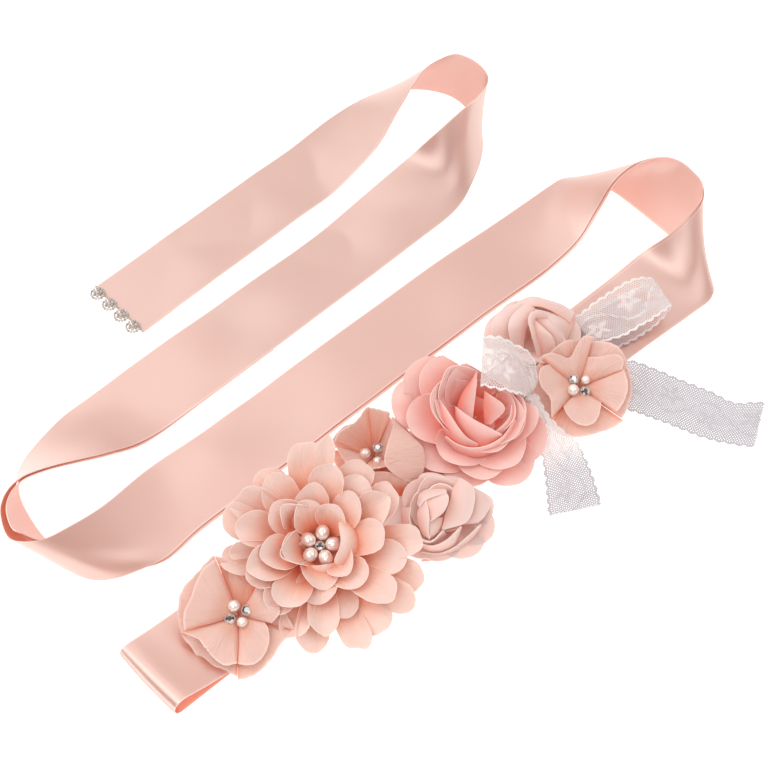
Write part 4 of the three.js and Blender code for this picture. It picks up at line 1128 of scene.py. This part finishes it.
for name, rows in LACE_LINES.items():
    middle = smooth_line(rows, np.linspace(0, len(rows) - 1, 400))
    steps = np.concatenate([[0], np.cumsum(np.linalg.norm(np.diff(middle[:, :3], axis=0), axis=1))])
    length, width = steps[-1], max(row[3] for row in rows)
    kind = "tail" if "tail" in name else "loop"
    half = width / 2
    bm = bmesh.new()
    lines_across = round(width / (NET_PITCH * math.sqrt(3) / 2))
    for line in range(lines_across + 1):
        across = (line / lines_across - 0.5) * (width - NET_PITCH)
        for step in range(int(length / NET_PITCH)):
            along = (step + 0.5 + 0.5 * (line % 2)) * NET_PITCH
            spot = Matrix.Translation((along, across, 0)) @ Matrix.Rotation(math.pi / 6, 4, "Z")
            bmesh.ops.create_circle(bm, cap_ends=True, segments=6, radius=CELL_RADIUS, matrix=spot)
    bmesh.ops.remove_doubles(bm, verts=bm.verts, dist=0.2)
    inner = [f for f in bm.faces if half - abs(f.calc_center_median().y) > EDGE_WIDTH]
    worked = [f for f in inner if is_worked(*f.calc_center_median().xy)]
    plain = [f for f in inner if not is_worked(*f.calc_center_median().xy)]
    bmesh.ops.inset_individual(bm, faces=worked, thickness=WORKED_THREAD[kind])
    bmesh.ops.inset_individual(bm, faces=plain, thickness=THREAD[kind])
    bmesh.ops.delete(bm, geom=inner, context="FACES")
    for v in bm.verts:
        along, across = min(max(v.co.x, 0), length), v.co.y / half
        x, y, z, local, course = (float(np.interp(along, steps, middle[:, k])) for k in range(5))
        scallop = SCALLOP_DEPTH * abs(math.sin(math.pi * along / SCALLOP_PITCH)) * across ** 4
        side = across * (local / 2 - SCALLOP_DEPTH + scallop)
        bearing = math.radians(course)
        wave = noise.noise(Vector((along / 9, across * 2, 7.1)))
        wave += 0.5 * noise.noise(Vector((along / 4, across * 5, 3.3)))
        lifted = max(0.5, z + CRUMPLE[name] * wave)
        v.co = (x + side * math.cos(bearing), y + side * math.sin(bearing), lifted)
    area = sum(f.calc_area() for f in bm.faces)
    made = thicken(piece(bm, f"lace_{name}", [cotton_thread], [name]), LACE_THICKNESS)

# %% [markdown]
# ## The knot and the beaded edging
# The knot is the same lace pulled tight, so little of its net is left: a soft ball with pleats does.
# The edging is four small medallions of seed beads and a straight row behind them, sewn along the
# ribbon's free end. Each bead is a small ball, since its hole can't be seen at this size.

# %% Knot
KNOT_PLACE = Vector((73, -14, 5.0))
KNOT_SIZE = (9, 8, 4.8)
KNOT_FLOOR = 2.7
bm = bmesh.new()
bmesh.ops.create_uvsphere(bm, u_segments=48, v_segments=24, radius=0.5)
for v in bm.verts:
    turn = math.atan2(v.co.z, v.co.y)
    pleat = 1 + 0.06 * math.sin(9 * turn + 6 * v.co.x) + 0.08 * noise.noise(v.co * 5)
    v.co = KNOT_PLACE + Vector(a * b * pleat for a, b in zip(v.co, KNOT_SIZE))
    v.co.z = max(v.co.z, KNOT_FLOOR)
knot = piece(bm, "lace_knot", [cotton_thread], ["bow_knot"])
print(knot.name, "of", KNOT_SIZE, "mm")

# %% Beaded edging
MEDALLIONS = 4
MEDALLION_PITCH = 9.6
MEDALLION_RADIUS = 3.4
FIRST_MEDALLION = 5  # distances from the end's first corner, and outwards from the end
MEDALLION_OUT = 1.8
RING_BEADS = 14
INNER_BEADS = 6
INNER_RADIUS = 1.75
ROW_BEADS = 30
ROW_START = 0.8
ROW_PITCH = 1.3
ROW_IN = 0.4
SEED = 1.45
SEED_HEIGHT = Vector((0, 0, 1.6))
end_first, end_second = Vector((-148, 60, 0)), Vector((-121, 31, 0))
along_end = (end_second - end_first).normalized()
outward = Vector((along_end.y, -along_end.x, 0))

# Glass seed beads: white ones, and silver-lined ones that look dark between them. Their tones change from
# bead to bead.
seed_glass = mottled("white_seed_glass", "#bdb0a8", "#d9cdc5", 1.5, Roughness=0.15, Coat_Weight=0.5)
lined_glass = mottled("silver_lined_glass", "#8d8078", "#cfc1b6", 1.5, Roughness=0.2)


def seed_bead(bm, spot, size, material):
    """A small ball at a place."""
    verts = bmesh.ops.create_uvsphere(bm, u_segments=10, v_segments=7, radius=size / 2,
                                      matrix=Matrix.Translation(spot))["verts"]
    for face in {f for v in verts for f in v.link_faces}:
        face.material_index = material


bm = bmesh.new()
for number in range(MEDALLIONS):
    corner = end_first + along_end * (FIRST_MEDALLION + MEDALLION_PITCH * number)
    centre = corner + outward * MEDALLION_OUT + SEED_HEIGHT
    for bead in range(RING_BEADS):
        angle = 2 * math.pi * bead / RING_BEADS
        spot = centre + MEDALLION_RADIUS * Vector((math.cos(angle), math.sin(angle), 0))
        seed_bead(bm, spot, SEED, 0 if bead % 3 else 1)
    for bead in range(INNER_BEADS):
        angle = 2 * math.pi * bead / INNER_BEADS + 0.5
        spot = centre + INNER_RADIUS * Vector((math.cos(angle), math.sin(angle), 0.2))
        seed_bead(bm, spot, SEED * 1.15, bead % 2)
    seed_bead(bm, centre + Vector((0, 0, 0.6)), SEED * 1.4, 0)
for bead in range(ROW_BEADS):
    spot = end_first + along_end * (ROW_START + ROW_PITCH * bead) + SEED_HEIGHT - outward * ROW_IN
    seed_bead(bm, spot, SEED * 0.8, 0 if bead % 4 else 1)
piece(bm, "beaded_edging", [seed_glass, lined_glass], ["end_edging"])
print("edging:", MEDALLIONS, "medallions")
